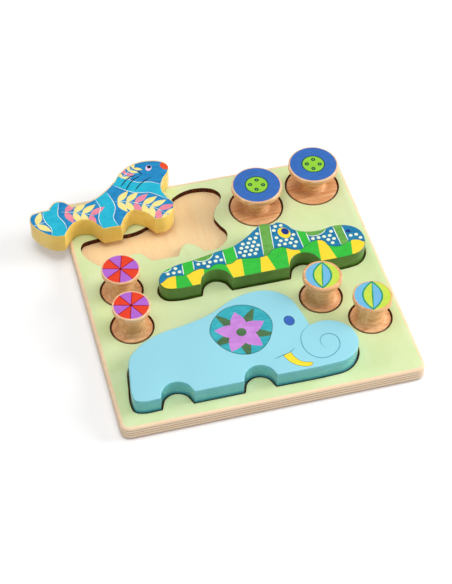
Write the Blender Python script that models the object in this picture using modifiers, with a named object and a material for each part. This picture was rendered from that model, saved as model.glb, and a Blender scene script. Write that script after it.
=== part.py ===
"""A wooden relief puzzle: a square tray with cut-out pockets, three chunky animals and six thread spools.

Metres, +Z up. The origin is the middle of the tray's underside, +X runs along the tray's front edge
to the right, and +Y runs from the front edge to the back.
"""
import math

import bmesh
import bpy
from mathutils import Vector

MM = 0.001

# The tray: a top board with pockets cut right through it, glued on a plain base board
TRAY_WIDTH = 240.0 * MM
TRAY_DEPTH = 240.0 * MM
TRAY_CORNER_RADIUS = 7.5 * MM
TRAY_EDGE_ROUND = 1.8 * MM
BASE_THICKNESS = 7.8 * MM
FRAME_THICKNESS = 4.7 * MM

# Clearances: one piece resting on another, an animal in its pocket and a spool in its recess
SEAT_GAP = 0.3 * MM
POCKET_CLEARANCE = 1.1 * MM
SPOOL_CLEARANCE = 1.3 * MM

# The animals are sawn from one board, with their edges eased by sanding
ANIMAL_THICKNESS = 17.8 * MM
ANIMAL_EDGE_ROUND = 0.9 * MM

# The arches sawn under the elephant and the crocodile, over the tongues of the tray. Their shoulders
# are shares of the half width and of the height, and their middles and feet are in the grid's
# columns and rows from the middle of the animal
ARCH_HALF_WIDTH = 13.1 * MM
ARCH_HEIGHT = 12.5 * MM
ARCH_SHOULDER_OUT = 0.67
ARCH_SHOULDER_UP = 0.7
ELEPHANT_ARCHES = (-56.8, 7.6)
ELEPHANT_FOOT = -43.0
CROCODILE_ARCHES = (-41.9, 31.0)
CROCODILE_FOOT = -25.7

# The spools: turned, and the same at both ends; a cove is a quarter of a superellipse of the power given
SPOOL_HEIGHT = 30.5 * MM
SMALL_FLANGE_RADIUS = 15.9 * MM
SMALL_FACE_RADIUS = 14.3 * MM
SMALL_NECK_RADIUS = 10.2 * MM
WIDE_FLANGE_RADIUS = 21.1 * MM
WIDE_FACE_RADIUS = 19.6 * MM
WIDE_NECK_RADIUS = 9.9 * MM
HOURGLASS_COVE = 2.6
STRAIGHT_NECK_COVE = 8.0
FLANGE_RIM_HEIGHT = 1.7 * MM
FLANGE_SHOULDER_HEIGHT = 2.4 * MM
FLANGE_LIP = 0.5 * MM

# The pockets and the animals are drawn on a grid over the tray, this many columns across and rows
# deep, so the layout follows the tray's size; a column and a row are 1 mm on the real tray
GRID_COLUMNS = 240
GRID_ROWS = 240
COLUMN = TRAY_WIDTH / GRID_COLUMNS
ROW = TRAY_DEPTH / GRID_ROWS

# Middles of the places, in columns to the right and rows to the back of the tray's middle
ELEPHANT_PLACE = (-17.0, -64.0)
CROCODILE_PLACE = (25.0, 21.0)
SEAL_POCKET_PLACE = (-49.6, 75.8)
BUTTON_SPOOL_PLACES = {"left": (38.2, 78.5), "right": (90.1, 90.1)}
BALL_SPOOL_PLACES = {"left": (61.7, -29.7), "right": (93.3, -59.6)}

# The wheel spools stand one behind the other, with a wall of the board left between their recesses
WHEEL_SPOOL_COLUMNS = {"back": -89.8, "front": -90.1}
WHEEL_SPOOL_MIDDLE_ROW = -3.7
WHEEL_SPOOL_WALL = 4.4 * MM

# The seal lies beside its pocket, flat on the tray, over the back left corner
SEAL_SHIFT = (-37.0, 26.5)

# Finishes: a colour as screen values from 0 to 255, and a roughness
FINISHES = {
    "birch_ply": ((236, 200, 156), 0.55),
    "lime_paint": ((213, 234, 178), 0.5),
    "sky_blue_paint": ((152, 218, 232), 0.45),
    "leaf_green_paint": ((60, 190, 60), 0.45),
    "sea_blue_paint": ((30, 125, 195), 0.45),
    "beech_blue": ((225, 178, 132), 0.5),
    "beech_red": ((225, 176, 130), 0.5),
    "beech_lime": ((226, 178, 130), 0.5),
}

# Heights that follow
FRAME_LOW = BASE_THICKNESS + SEAT_GAP
FRAME_TOP = FRAME_LOW + FRAME_THICKNESS
POCKET_SEAT = BASE_THICKNESS + SEAT_GAP
SEAL_SEAT = FRAME_TOP + SEAT_GAP

# Fineness of the meshes
CURVE_STEPS = 3
CORNER_STEPS = 6
SPOOL_STEPS = 24
RECESS_STEPS = 40
COVE_STEPS = 5
SHOULDER_STEPS = 3
EDGE_SEGMENTS = 2
RIM_SEGMENTS = 3
WELD_DISTANCE = 0.01 * MM
CUTTER_OVERSHOOT = 2.0 * MM
SHARP_ANGLE = math.radians(35)
FLAT_ANGLE = math.radians(0.2)

# An outline is a closed list of knots, anticlockwise, in columns and rows from the middle of its piece.
# The curve runs smoothly through a plain knot and turns sharply at one that ends with CORNER.
CORNER = "corner"


def on_tray(spot):
    """The point, in metres, of a spot given in columns and rows."""
    return Vector((spot[0] * COLUMN, spot[1] * ROW))


def arch(middle, foot):
    """Knots of one arch, from its left foot to its right one, over the middle (x) and the foot level (y)."""
    half, rise = ARCH_HALF_WIDTH / COLUMN, ARCH_HEIGHT / ROW
    shoulder_out, shoulder_up = ARCH_SHOULDER_OUT * half, ARCH_SHOULDER_UP * rise
    return [
        (middle - half, foot, CORNER),
        (middle - shoulder_out, foot + shoulder_up),
        (middle, foot + rise),
        (middle + shoulder_out, foot + shoulder_up),
        (middle + half, foot, CORNER),
    ]


def elephant_knots():
    """Feet and arches, trunk, forehead, back and rump."""
    rear_arch, front_arch = ELEPHANT_ARCHES
    return [
        (-88.6, -40.4), (-83.5, -42.7),
        *arch(rear_arch, ELEPHANT_FOOT),
        *arch(front_arch, ELEPHANT_FOOT),
        (66.0, ELEPHANT_FOOT), (75.0, -42.0), (83.2, -37.5), (90.2, -26.0), (88.8, -13.0), (80.8, -3.8),
        (69.0, 0.2), (58.2, -1.4, CORNER),
        (55.0, 16.0), (50.0, 30.2), (39.0, 39.4), (23.8, 42.2), (7.5, 38.6), (-14.7, 27.8),
        (-35.0, 22.4), (-55.7, 18.9), (-70.3, 12.8), (-79.3, 6.0), (-84.4, -0.2), (-88.1, -18.0),
        (-90.1, -35.0),
    ]


def crocodile_knots():
    """Belly and arches, snout, brow, eye and back down to the tail."""
    rear_arch, front_arch = CROCODILE_ARCHES
    return [
        (-83.3, -22.6), (-74.0, -25.6),
        *arch(rear_arch, CROCODILE_FOOT),
        *arch(front_arch, CROCODILE_FOOT),
        (68.0, -25.5), (76.5, -23.6), (82.3, -18.6), (85.6, -9.0), (83.6, 0.8), (77.0, 6.6),
        (66.3, 9.3), (52.5, 7.4), (41.3, 8.6), (32.5, 13.4), (27.8, 20.5), (21.3, 24.2),
        (17.5, 22.9), (9.0, 25.3), (2.5, 21.8), (-7.5, 14.4), (-20.0, 7.8), (-35.0, 5.0),
        (-55.0, 1.0), (-70.0, -1.2), (-82.0, -6.4), (-86.4, -14.7),
    ]


def seal_knots():
    """Hind flippers, two hand-drawn arches, front flipper, chest, nose, head, back and tail."""
    return [
        (-58.7, -19.6), (-50.4, -29.4), (-44.4, -33.0), (-37.5, -33.8, CORNER),
        (-32.9, -27.1), (-27.4, -21.7), (-20.4, -20.3), (-13.4, -22.8), (-9.3, -28.7),
        (-5.7, -33.9, CORNER), (8.9, -34.1, CORNER),
        (13.6, -25.8), (20.6, -19.8), (28.6, -22.5), (33.6, -27.7), (37.5, -33.8, CORNER),
        (45.2, -33.7), (53.0, -27.7), (55.8, -19.3), (52.1, -10.3), (49.9, -1.3), (53.6, 9.2),
        (59.6, 16.7), (61.4, 23.7), (57.6, 29.9), (42.5, 34.2), (29.8, 31.5), (20.2, 24.7),
        (13.7, 16.3, CORNER),
        (3.4, 7.1), (-7.5, 0.6), (-17.4, -2.3), (-25.2, -2.8, CORNER),
        (-27.8, 0.7), (-32.4, 4.9), (-37.9, 5.5), (-42.0, 2.1), (-44.6, -1.5, CORNER),
        (-52.0, -2.1), (-59.2, -4.1), (-61.6, -10.5),
    ]


def outline_points(knots):
    """Points of the closed curve through the knots, in metres, CURVE_STEPS to a span."""
    places = [on_tray(knot) for knot in knots]
    count = len(places)

    def heading(index, chord):
        """Direction of the curve at a knot: the chord's at a corner, the mean of both sides elsewhere."""
        if CORNER in knots[index]:
            return chord.normalized()
        ahead = (places[(index + 1) % count] - places[index]).normalized()
        behind = (places[index] - places[index - 1]).normalized()
        return (ahead + behind).normalized()

    points = []
    for index in range(count):
        following = (index + 1) % count
        start, end = places[index], places[following]
        chord = end - start
        reach = chord.length / 3
        first = start + heading(index, chord) * reach
        second = end - heading(following, chord) * reach
        for step in range(CURVE_STEPS):
            t = step / CURVE_STEPS
            u = 1 - t
            points.append(u ** 3 * start + 3 * u * u * t * first + 3 * u * t * t * second + t ** 3 * end)
    return points


def grown(points, distance):
    """The outline moved outwards by a distance, each corner along the bisector of its two sides."""
    count = len(points)
    result = []
    for index, point in enumerate(points):
        behind = (point - points[index - 1]).normalized()
        ahead = (points[(index + 1) % count] - point).normalized()
        normal = Vector((behind.y + ahead.y, -behind.x - ahead.x)).normalized()
        stretch = normal.dot(Vector((ahead.y, -ahead.x)))
        result.append(point + normal * (distance / stretch))
    return result


def rounded_rectangle(width, depth, radius):
    """Points of a rectangle with round corners, about the origin."""
    points = []
    for quarter, (side_x, side_y) in enumerate(((1, 1), (-1, 1), (-1, -1), (1, -1))):
        centre = Vector((side_x * (width / 2 - radius), side_y * (depth / 2 - radius)))
        for step in range(CORNER_STEPS + 1):
            angle = math.pi / 2 * (quarter + step / CORNER_STEPS)
            points.append(centre + Vector((math.cos(angle), math.sin(angle))) * radius)
    return points


def outline_plate(name, points, thickness, collection):
    """A closed plate with the outline given, standing on its own origin level."""
    curve = bpy.data.curves.new(name, "CURVE")
    curve.dimensions = "2D"
    curve.fill_mode = "BOTH"
    curve.extrude = thickness / 2
    spline = curve.splines.new("POLY")
    spline.points.add(len(points) - 1)
    for place, point in zip(spline.points, points):
        place.co = (point.x, point.y, 0, 1)
    spline.use_cyclic_u = True
    drawn = bpy.data.objects.new(name + "_outline", curve)
    bpy.context.scene.collection.objects.link(drawn)
    evaluated = drawn.evaluated_get(bpy.context.evaluated_depsgraph_get())
    mesh = bpy.data.meshes.new_from_object(evaluated)
    mesh.name = name
    bpy.data.objects.remove(drawn)
    bpy.data.curves.remove(curve)
    solid = bmesh.new()
    solid.from_mesh(mesh)
    bmesh.ops.remove_doubles(solid, verts=solid.verts, dist=WELD_DISTANCE)
    bmesh.ops.dissolve_limit(solid, angle_limit=FLAT_ANGLE, verts=solid.verts, edges=solid.edges)
    bmesh.ops.translate(solid, verts=solid.verts, vec=(0, 0, thickness / 2))
    solid.to_mesh(mesh)
    solid.free()
    plate = bpy.data.objects.new(name, mesh)
    collection.objects.link(plate)
    return plate


def round_marked_edges(plate, level, width):
    """Round over the plate's rim at one level, and no other edge."""
    solid = bmesh.new()
    solid.from_mesh(plate.data)
    weight = solid.edges.layers.float.new("bevel_weight_edge")
    for edge in solid.edges:
        on_rim = all(abs(vert.co.z - level) < WELD_DISTANCE for vert in edge.verts)
        if on_rim and edge.calc_face_angle(0) > SHARP_ANGLE:
            edge[weight] = 1.0
    solid.to_mesh(plate.data)
    solid.free()
    bevel = plate.modifiers.new("rim", "BEVEL")
    bevel.limit_method = "WEIGHT"
    bevel.width = width
    bevel.segments = RIM_SEGMENTS


def ease_edges(piece, width):
    """Sanded edges all round a piece."""
    bevel = piece.modifiers.new("sanded_edges", "BEVEL")
    bevel.limit_method = "ANGLE"
    bevel.angle_limit = SHARP_ANGLE
    bevel.width = width
    bevel.segments = EDGE_SEGMENTS


def smooth_shaded(piece):
    """Smooth shading with the sharp edges kept."""
    piece.data.shade_smooth()
    piece.data.set_sharp_from_angle(angle=SHARP_ANGLE)


def finish(name):
    """A painted or oiled wood surface from the table of finishes."""
    def linear(value):
        value = value / 255
        return value / 12.92 if value <= 0.04045 else ((value + 0.055) / 1.055) ** 2.4

    colour, roughness = FINISHES[name]
    material = bpy.data.materials.new(name)
    material.use_nodes = True
    shader = material.node_tree.nodes["Principled BSDF"]
    shader.inputs["Base Color"].default_value = (*[linear(value) for value in colour], 1)
    shader.inputs["Roughness"].default_value = roughness
    shader.inputs["Metallic"].default_value = 0
    return material


def place(piece, spot, height, material, root):
    """Put a piece at its spot on the tray, dress it and hang it on the puzzle's empty."""
    piece.location = (*on_tray(spot), height)
    piece.data.materials.append(material)
    piece.parent = root


def tray_base(collection, root):
    """The plain board underneath, which is every pocket's floor."""
    outline = rounded_rectangle(TRAY_WIDTH, TRAY_DEPTH, TRAY_CORNER_RADIUS)
    board = outline_plate("tray_base", outline, BASE_THICKNESS, collection)
    round_marked_edges(board, 0, TRAY_EDGE_ROUND)
    smooth_shaded(board)
    place(board, (0, 0), 0, finish("birch_ply"), root)


def wheel_spool_places():
    """Spots of the two wheel spools, their recesses a wall apart."""
    reach = (SMALL_FLANGE_RADIUS + SPOOL_CLEARANCE + WHEEL_SPOOL_WALL / 2) / ROW
    return {
        "back": (WHEEL_SPOOL_COLUMNS["back"], WHEEL_SPOOL_MIDDLE_ROW + reach),
        "front": (WHEEL_SPOOL_COLUMNS["front"], WHEEL_SPOOL_MIDDLE_ROW - reach),
    }


def pocket_cutters(collection):
    """Cutters for three animal pockets and six round recesses, each a clearance larger than its piece."""
    animals = {
        "elephant": (elephant_knots(), ELEPHANT_PLACE),
        "crocodile": (crocodile_knots(), CROCODILE_PLACE),
        "seal": (seal_knots(), SEAL_POCKET_PLACE),
    }
    length = FRAME_THICKNESS + 2 * CUTTER_OVERSHOOT
    low = FRAME_LOW - CUTTER_OVERSHOOT
    for animal, (knots, spot) in animals.items():
        outline = grown(outline_points(knots), POCKET_CLEARANCE)
        cutter = outline_plate(animal + "_pocket", outline, length, collection)
        cutter.location = (*on_tray(spot), low)
    for kind, radius, places in (
        ("button", WIDE_FLANGE_RADIUS, BUTTON_SPOOL_PLACES),
        ("wheel", SMALL_FLANGE_RADIUS, wheel_spool_places()),
        ("ball", SMALL_FLANGE_RADIUS, BALL_SPOOL_PLACES),
    ):
        for side, spot in places.items():
            bpy.ops.mesh.primitive_cylinder_add(
                vertices=RECESS_STEPS, radius=radius + SPOOL_CLEARANCE, depth=length,
                location=(*on_tray(spot), low + length / 2))
            cutter = bpy.context.object
            cutter.name = kind + "_recess_" + side
            for owner in cutter.users_collection:
                owner.objects.unlink(cutter)
            collection.objects.link(cutter)
    for cutter in collection.objects:
        cutter.hide_render = True
        cutter.display_type = "WIRE"


def tray_frame(collection, cutters, root):
    """The printed top board, with every pocket cut right through it."""
    outline = rounded_rectangle(TRAY_WIDTH, TRAY_DEPTH, TRAY_CORNER_RADIUS)
    board = outline_plate("tray_frame", outline, FRAME_THICKNESS, collection)
    round_marked_edges(board, FRAME_THICKNESS, TRAY_EDGE_ROUND)
    cut = board.modifiers.new("pockets", "BOOLEAN")
    cut.operation = "DIFFERENCE"
    cut.operand_type = "COLLECTION"
    cut.collection = cutters
    cut.solver = "EXACT"
    smooth_shaded(board)
    place(board, (0, 0), FRAME_LOW, finish("lime_paint"), root)


def animal(name, knots, spot, height, material, collection, root):
    """One sawn animal with sanded edges."""
    piece = outline_plate(name, outline_points(knots), ANIMAL_THICKNESS, collection)
    ease_edges(piece, ANIMAL_EDGE_ROUND)
    smooth_shaded(piece)
    place(piece, spot, height, material, root)


def spool_half_profile(flange_radius, face_radius, neck_radius, cove_power):
    """(radius, height above the middle) from the neck out to the rim and up to the flat end face.

    The cove is a quarter of a superellipse: power 2 is an hourglass, and more is a straighter neck.
    """
    shoulder_low = SPOOL_HEIGHT / 2 - FLANGE_SHOULDER_HEIGHT
    rim_low = shoulder_low - FLANGE_RIM_HEIGHT
    cove_radius = flange_radius - FLANGE_LIP
    points = []
    for step in range(1, COVE_STEPS + 1):
        angle = math.pi / 2 * step / (COVE_STEPS + 1)
        height = math.sin(angle) ** (2 / cove_power)
        fall = math.cos(angle) ** (2 / cove_power)
        points.append((cove_radius - (cove_radius - neck_radius) * fall, height * (rim_low - FLANGE_LIP)))
    points.append((cove_radius, rim_low - FLANGE_LIP))
    points.append((flange_radius, rim_low))
    for step in range(SHOULDER_STEPS + 1):
        angle = math.pi / 2 * step / SHOULDER_STEPS
        points.append((
            face_radius + (flange_radius - face_radius) * math.cos(angle),
            shoulder_low + FLANGE_SHOULDER_HEIGHT * math.sin(angle)))
    return points


def spool_mesh(name, flange_radius, face_radius, neck_radius, cove_power):
    """The outer side of a spool as a chain of edges at +X, top to bottom, from axis to axis."""
    upper = spool_half_profile(flange_radius, face_radius, neck_radius, cove_power)
    middle = SPOOL_HEIGHT / 2
    chain = [(0, SPOOL_HEIGHT)]
    chain += [(radius, middle + height) for radius, height in reversed(upper)]
    chain += [(neck_radius, middle)]
    chain += [(radius, middle - height) for radius, height in upper]
    chain += [(0, 0)]
    mesh = bpy.data.meshes.new(name)
    edges = [(index, index + 1) for index in range(len(chain) - 1)]
    mesh.from_pydata([(radius, 0, height) for radius, height in chain], edges, [])
    return mesh


def spools(kind, sizes, places, material, collection, root):
    """A pair of equal turned spools, each in its own round pocket."""
    mesh = spool_mesh(kind + "_spool", *sizes)
    mesh.materials.append(material)
    for side, spot in places.items():
        spool = bpy.data.objects.new(kind + "_spool_" + side, mesh)
        collection.objects.link(spool)
        turn = spool.modifiers.new("turned", "SCREW")
        turn.axis = "Z"
        turn.angle = 2 * math.pi
        turn.steps = SPOOL_STEPS
        turn.render_steps = SPOOL_STEPS
        turn.use_merge_vertices = True
        turn.merge_threshold = WELD_DISTANCE
        turn.use_smooth_shade = True
        spool.location = (*on_tray(spot), POCKET_SEAT)
        spool.parent = root


def main():
    """Build the whole puzzle."""
    for leftover in list(bpy.data.objects):
        bpy.data.objects.remove(leftover)
    parts = bpy.data.collections.new("relief_puzzle")
    cutters = bpy.data.collections.new("pocket_cutters")
    bpy.context.scene.collection.children.link(parts)
    bpy.context.scene.collection.children.link(cutters)
    root = bpy.data.objects.new("puzzle_origin", None)
    parts.objects.link(root)

    tray_base(parts, root)
    pocket_cutters(cutters)
    tray_frame(parts, cutters, root)

    seal_place = (SEAL_POCKET_PLACE[0] + SEAL_SHIFT[0], SEAL_POCKET_PLACE[1] + SEAL_SHIFT[1])
    animal("elephant", elephant_knots(), ELEPHANT_PLACE, POCKET_SEAT,
           finish("sky_blue_paint"), parts, root)
    animal("crocodile", crocodile_knots(), CROCODILE_PLACE, POCKET_SEAT,
           finish("leaf_green_paint"), parts, root)
    animal("seal", seal_knots(), seal_place, SEAL_SEAT, finish("sea_blue_paint"), parts, root)

    small_sizes = (SMALL_FLANGE_RADIUS, SMALL_FACE_RADIUS, SMALL_NECK_RADIUS, HOURGLASS_COVE)
    wide_sizes = (WIDE_FLANGE_RADIUS, WIDE_FACE_RADIUS, WIDE_NECK_RADIUS, STRAIGHT_NECK_COVE)
    spools("button", wide_sizes, BUTTON_SPOOL_PLACES, finish("beech_blue"), parts, root)
    spools("wheel", small_sizes, wheel_spool_places(), finish("beech_red"), parts, root)
    spools("ball", small_sizes, BALL_SPOOL_PLACES, finish("beech_lime"), parts, root)


main()
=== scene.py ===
"""Looks of a wooden relief puzzle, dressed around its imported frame.

A square birch tray with a lime printed top holds an elephant, a crocodile, a seal and six turned
spools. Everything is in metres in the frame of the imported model: the origin is the middle of the
tray's underside, +X runs along its front edge and +Z is up. Outlines are written in millimetres.
"""
import logging
import math
from dataclasses import dataclass, field, replace
from enum import Enum
from typing import Callable, Iterable, Mapping, Sequence

import bmesh
import bpy
from mathutils import Euler, Matrix, Vector
from mathutils.geometry import delaunay_2d_cdt


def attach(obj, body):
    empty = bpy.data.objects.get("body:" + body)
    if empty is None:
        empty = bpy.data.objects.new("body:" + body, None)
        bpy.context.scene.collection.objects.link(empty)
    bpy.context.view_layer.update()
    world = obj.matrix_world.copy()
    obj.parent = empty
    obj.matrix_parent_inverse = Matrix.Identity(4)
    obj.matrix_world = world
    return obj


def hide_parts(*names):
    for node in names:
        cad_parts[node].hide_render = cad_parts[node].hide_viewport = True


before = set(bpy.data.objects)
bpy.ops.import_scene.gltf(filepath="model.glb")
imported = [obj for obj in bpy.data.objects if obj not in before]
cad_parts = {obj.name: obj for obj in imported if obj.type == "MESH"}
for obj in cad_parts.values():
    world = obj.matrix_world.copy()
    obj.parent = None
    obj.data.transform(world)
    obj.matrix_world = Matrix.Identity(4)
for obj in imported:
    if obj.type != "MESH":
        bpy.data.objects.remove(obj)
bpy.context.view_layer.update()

LOG = logging.getLogger("relief_puzzle")

MM = 0.001
CORNER = "corner"

Colour = tuple[float, float, float, float]
Tint = tuple[int, int, int]
Place = tuple[float, float]
Knot = tuple
Socket = bpy.types.NodeSocket
Piece = bpy.types.Object
Ring = Sequence[bmesh.types.BMVert]
Inputs = Mapping[str | int, object]


# Numbers of the object

TRAY_HALF = 120.0 * MM
TRAY_CORNER_RADIUS = 7.5 * MM
TRAY_EDGE_ROUND = 1.8 * MM
BASE_THICKNESS = 7.8 * MM
FRAME_THICKNESS = 4.7 * MM
SEAT_GAP = 0.3 * MM
POCKET_CLEARANCE = 1.1 * MM
SPOOL_CLEARANCE = 1.3 * MM
ANIMAL_THICKNESS = 17.8 * MM
ANIMAL_EDGE_ROUND = 0.9 * MM

FRAME_LOW = BASE_THICKNESS + SEAT_GAP
FRAME_TOP = FRAME_LOW + FRAME_THICKNESS
POCKET_SEAT = FRAME_LOW
SEAL_SEAT = FRAME_TOP + SEAT_GAP

# Printed areas lie just above the wood, lines and dots above those
AREA_RISE = 0.03 * MM
LINE_RISE = 0.05 * MM
CORE_RISE = 0.07 * MM
AREA_THICKNESS = 0.06 * MM
LINE_THICKNESS = 0.04 * MM

# A pen stroke thins over this share of its length at each end, by this power, to this share of its width
PEN_TAPER = 0.2
PEN_FALL = 0.6
PEN_POINT = 0.35

# Corners this close are one: in millimetres where areas are cut, in metres where wood is turned
SAME_POINT = 1e-5
WELD = 0.001 * MM

# A grown outline loses the points that lie nearer to the first one than this share of the distance
FOLD_SHARE = 0.99

# A leaf's length is taken to this power, which puts its widest place a little before the middle
LEAF_BELLY = 0.8

ELEPHANT_PLACE = (-17.0, -64.0)
CROCODILE_PLACE = (25.0, 21.0)
SEAL_POCKET_PLACE = (-49.6, 75.8)
SEAL_PLACE = (-86.6, 102.3)

# The prints on the spools look upright from the front left, where the puzzle is seen from
PRINT_TURN = math.radians(-15.4)


def screen(tint: Tint) -> Colour:
    """A colour given as screen values.

    Args:
        tint: red, green and blue, from 0 to 255.

    Returns:
        The same colour in linear light, opaque.
    """
    def linear(value: int) -> float:
        """Linear light of one screen value."""
        share = value / 255
        return share / 12.92 if share <= 0.04045 else ((share + 0.055) / 1.055) ** 2.4

    red, green, blue = tint
    return linear(red), linear(green), linear(blue), 1.0


# Outlines

ARCH_HALF_WIDTH = 13.1
ARCH_HEIGHT = 12.5
ARCH_SHOULDER_OUT = 0.67
ARCH_SHOULDER_UP = 0.7


def arch(middle: float, foot: float) -> list[Knot]:
    """One sawn arch of the elephant or the crocodile.

    Args:
        middle: x of its middle, in millimetres.
        foot: y of its two feet.

    Returns:
        Its knots from the left foot to the right one.
    """
    side, shoulder = ARCH_HALF_WIDTH, ARCH_SHOULDER_OUT * ARCH_HALF_WIDTH
    level = foot + ARCH_SHOULDER_UP * ARCH_HEIGHT
    return [
        (middle - side, foot, CORNER), (middle - shoulder, level), (middle, foot + ARCH_HEIGHT),
        (middle + shoulder, level), (middle + side, foot, CORNER),
    ]


ELEPHANT_KNOTS: list[Knot] = [
    (-88.6, -40.4), (-83.5, -42.7), *arch(-56.8, -43.0), *arch(7.6, -43.0), (66.0, -43.0), (75.0, -42.0),
    (83.2, -37.5), (90.2, -26.0), (88.8, -13.0), (80.8, -3.8), (69.0, 0.2), (58.2, -1.4, CORNER),
    (55.0, 16.0), (50.0, 30.2), (39.0, 39.4), (23.8, 42.2), (7.5, 38.6), (-14.7, 27.8), (-35.0, 22.4),
    (-55.7, 18.9), (-70.3, 12.8), (-79.3, 6.0), (-84.4, -0.2), (-88.1, -18.0), (-90.1, -35.0),
]

CROCODILE_KNOTS: list[Knot] = [
    (-83.3, -22.6), (-74.0, -25.6), *arch(-41.9, -25.7), *arch(31.0, -25.7), (68.0, -25.5),
    (76.5, -23.6), (82.3, -18.6), (85.6, -9.0), (83.6, 0.8), (77.0, 6.6), (66.3, 9.3), (52.5, 7.4),
    (41.3, 8.6), (32.5, 13.4), (27.8, 20.5), (21.3, 24.2), (17.5, 22.9), (9.0, 25.3), (2.5, 21.8),
    (-7.5, 14.4), (-20.0, 7.8), (-35.0, 5.0), (-55.0, 1.0), (-70.0, -1.2), (-82.0, -6.4), (-86.4, -14.7),
]

SEAL_KNOTS: list[Knot] = [
    (-58.7, -19.6), (-50.4, -29.4), (-44.4, -33.0), (-37.5, -33.8, CORNER), (-32.9, -27.1),
    (-27.4, -21.7), (-20.4, -20.3), (-13.4, -22.8), (-9.3, -28.7), (-5.7, -33.9, CORNER),
    (8.9, -34.1, CORNER), (13.6, -25.8), (20.6, -19.8), (28.6, -22.5), (33.6, -27.7),
    (37.5, -33.8, CORNER), (45.2, -33.7), (53.0, -27.7), (55.8, -19.3), (52.1, -10.3), (49.9, -1.3),
    (53.6, 9.2), (59.6, 16.7), (61.4, 23.7), (57.6, 29.9), (42.5, 34.2), (29.8, 31.5), (20.2, 24.7),
    (13.7, 16.3, CORNER), (3.4, 7.1), (-7.5, 0.6), (-17.4, -2.3), (-25.2, -2.8, CORNER),
    (-27.8, 0.7), (-32.4, 4.9), (-37.9, 5.5), (-42.0, 2.1), (-44.6, -1.5, CORNER), (-52.0, -2.1),
    (-59.2, -4.1), (-61.6, -10.5),
]

# The tray's wood that stands in the seal's two arches is smaller than they are
SEAL_ARCHES = ((3, 9), (10, 15))
TONGUE_SHARE = 0.8


def narrowed(knots: Sequence[Knot], arches: Sequence[tuple[int, int]], share: float) -> list[Knot]:
    """An outline with its arches drawn in, each towards the middle between its feet.

    Args:
        knots: the outline.
        arches: the places in it of each arch's two feet.
        share: how much of an arch's size is left.

    Returns:
        The new knots.
    """
    result = list(knots)
    for first, last in arches:
        middle = (Vector(knots[first][:2]) + Vector(knots[last][:2])) / 2
        for index in range(first, last + 1):
            result[index] = (*middle.lerp(Vector(knots[index][:2]), share), *knots[index][2:])
    return result


def smooth_loop(knots: Sequence[Knot], place: Place = (0.0, 0.0), steps: int = 10) -> list[Vector]:
    """The closed curve through the knots of an outline.

    Args:
        knots: anticlockwise, in millimetres; the curve turns sharply at one that ends with CORNER.
        place: where the outline's own middle lies on the tray, in millimetres.
        steps: points to a span.

    Returns:
        Its points on the tray, in metres.
    """
    places = [Vector((knot[0] + place[0], knot[1] + place[1])) * MM for knot in knots]
    count = len(places)

    def heading(index: int, chord: Vector) -> Vector:
        """Direction of the curve at a knot.

        Args:
            index: of the knot.
            chord: from this span's first knot to its last.

        Returns:
            The chord's direction at a corner, the mean of both sides elsewhere.
        """
        if CORNER in knots[index]:
            return chord.normalized()
        ahead = (places[(index + 1) % count] - places[index]).normalized()
        behind = (places[index] - places[index - 1]).normalized()
        return (ahead + behind).normalized()

    points = []
    for index in range(count):
        following = (index + 1) % count
        start, end = places[index], places[following]
        chord = end - start
        first = start + heading(index, chord) * chord.length / 3
        second = end - heading(following, chord) * chord.length / 3
        points += [bezier(start, first, second, end, step / steps) for step in range(steps)]
    return points


def bezier(start: Vector, first: Vector, second: Vector, end: Vector, t: float) -> Vector:
    """The point at t, from 0 to 1, of a cubic with these four handles."""
    u = 1 - t
    return u ** 3 * start + 3 * u * u * t * first + 3 * u * t * t * second + t ** 3 * end


def smooth_path(knots: Sequence[Knot], steps: int = 8) -> list[Vector]:
    """The open curve through some knots.

    Args:
        knots: in millimetres on the tray.
        steps: points to a span.

    Returns:
        Its points, in metres.
    """
    places = [Vector(knot[:2]) * MM for knot in knots]
    last = len(places) - 1
    points = []
    for index in range(last):
        start, end = places[index], places[index + 1]
        reach = (end - start).length / 3
        leaving = (end - places[max(index - 1, 0)]).normalized()
        arriving = (places[min(index + 2, last)] - start).normalized()
        points += [bezier(start, start + leaving * reach, end - arriving * reach, end, step / steps)
                   for step in range(steps)]
    return points + [places[last]]


def grown(points: Sequence[Vector], distance: float | list[float]) -> list[Vector]:
    """A closed outline moved outwards.

    Args:
        points: anticlockwise, in metres.
        distance: how far, in metres, inwards if negative; one for all the points or one for each.

    Returns:
        As many points, each corner moved along the bisector of its sides.
    """
    distances = distance if isinstance(distance, list) else [distance] * len(points)
    result = []
    for index, (point, reach) in enumerate(zip(points, distances)):
        behind = (point - points[index - 1]).normalized()
        ahead = (points[(index + 1) % len(points)] - point).normalized()
        normal = Vector((behind.y + ahead.y, -behind.x - ahead.x)).normalized()
        result.append(point + normal * (reach / normal.dot(Vector((ahead.y, -ahead.x)))))
    return result


def cleared(points: Sequence[Vector], distance: float) -> list[Vector]:
    """An outline grown all round, without the points that would fold over in a tight inner corner.

    Args:
        points: anticlockwise, in metres.
        distance: how far outwards, in metres.

    Returns:
        The points that lie this far from the outline.
    """
    sides = [(points[index - 1], point) for index, point in enumerate(points)]

    def gap(place: Vector, start: Vector, end: Vector) -> float:
        """Distance from a place to one side.

        Args:
            place: in the plane.
            start, end: of the side.

        Returns:
            The distance.
        """
        side = end - start
        share = min(1.0, max(0.0, (place - start).dot(side) / side.length_squared))
        return (start + side * share - place).length

    return [place for place in grown(points, distance)
            if all(gap(place, start, end) > FOLD_SHARE * distance for start, end in sides)]


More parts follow.
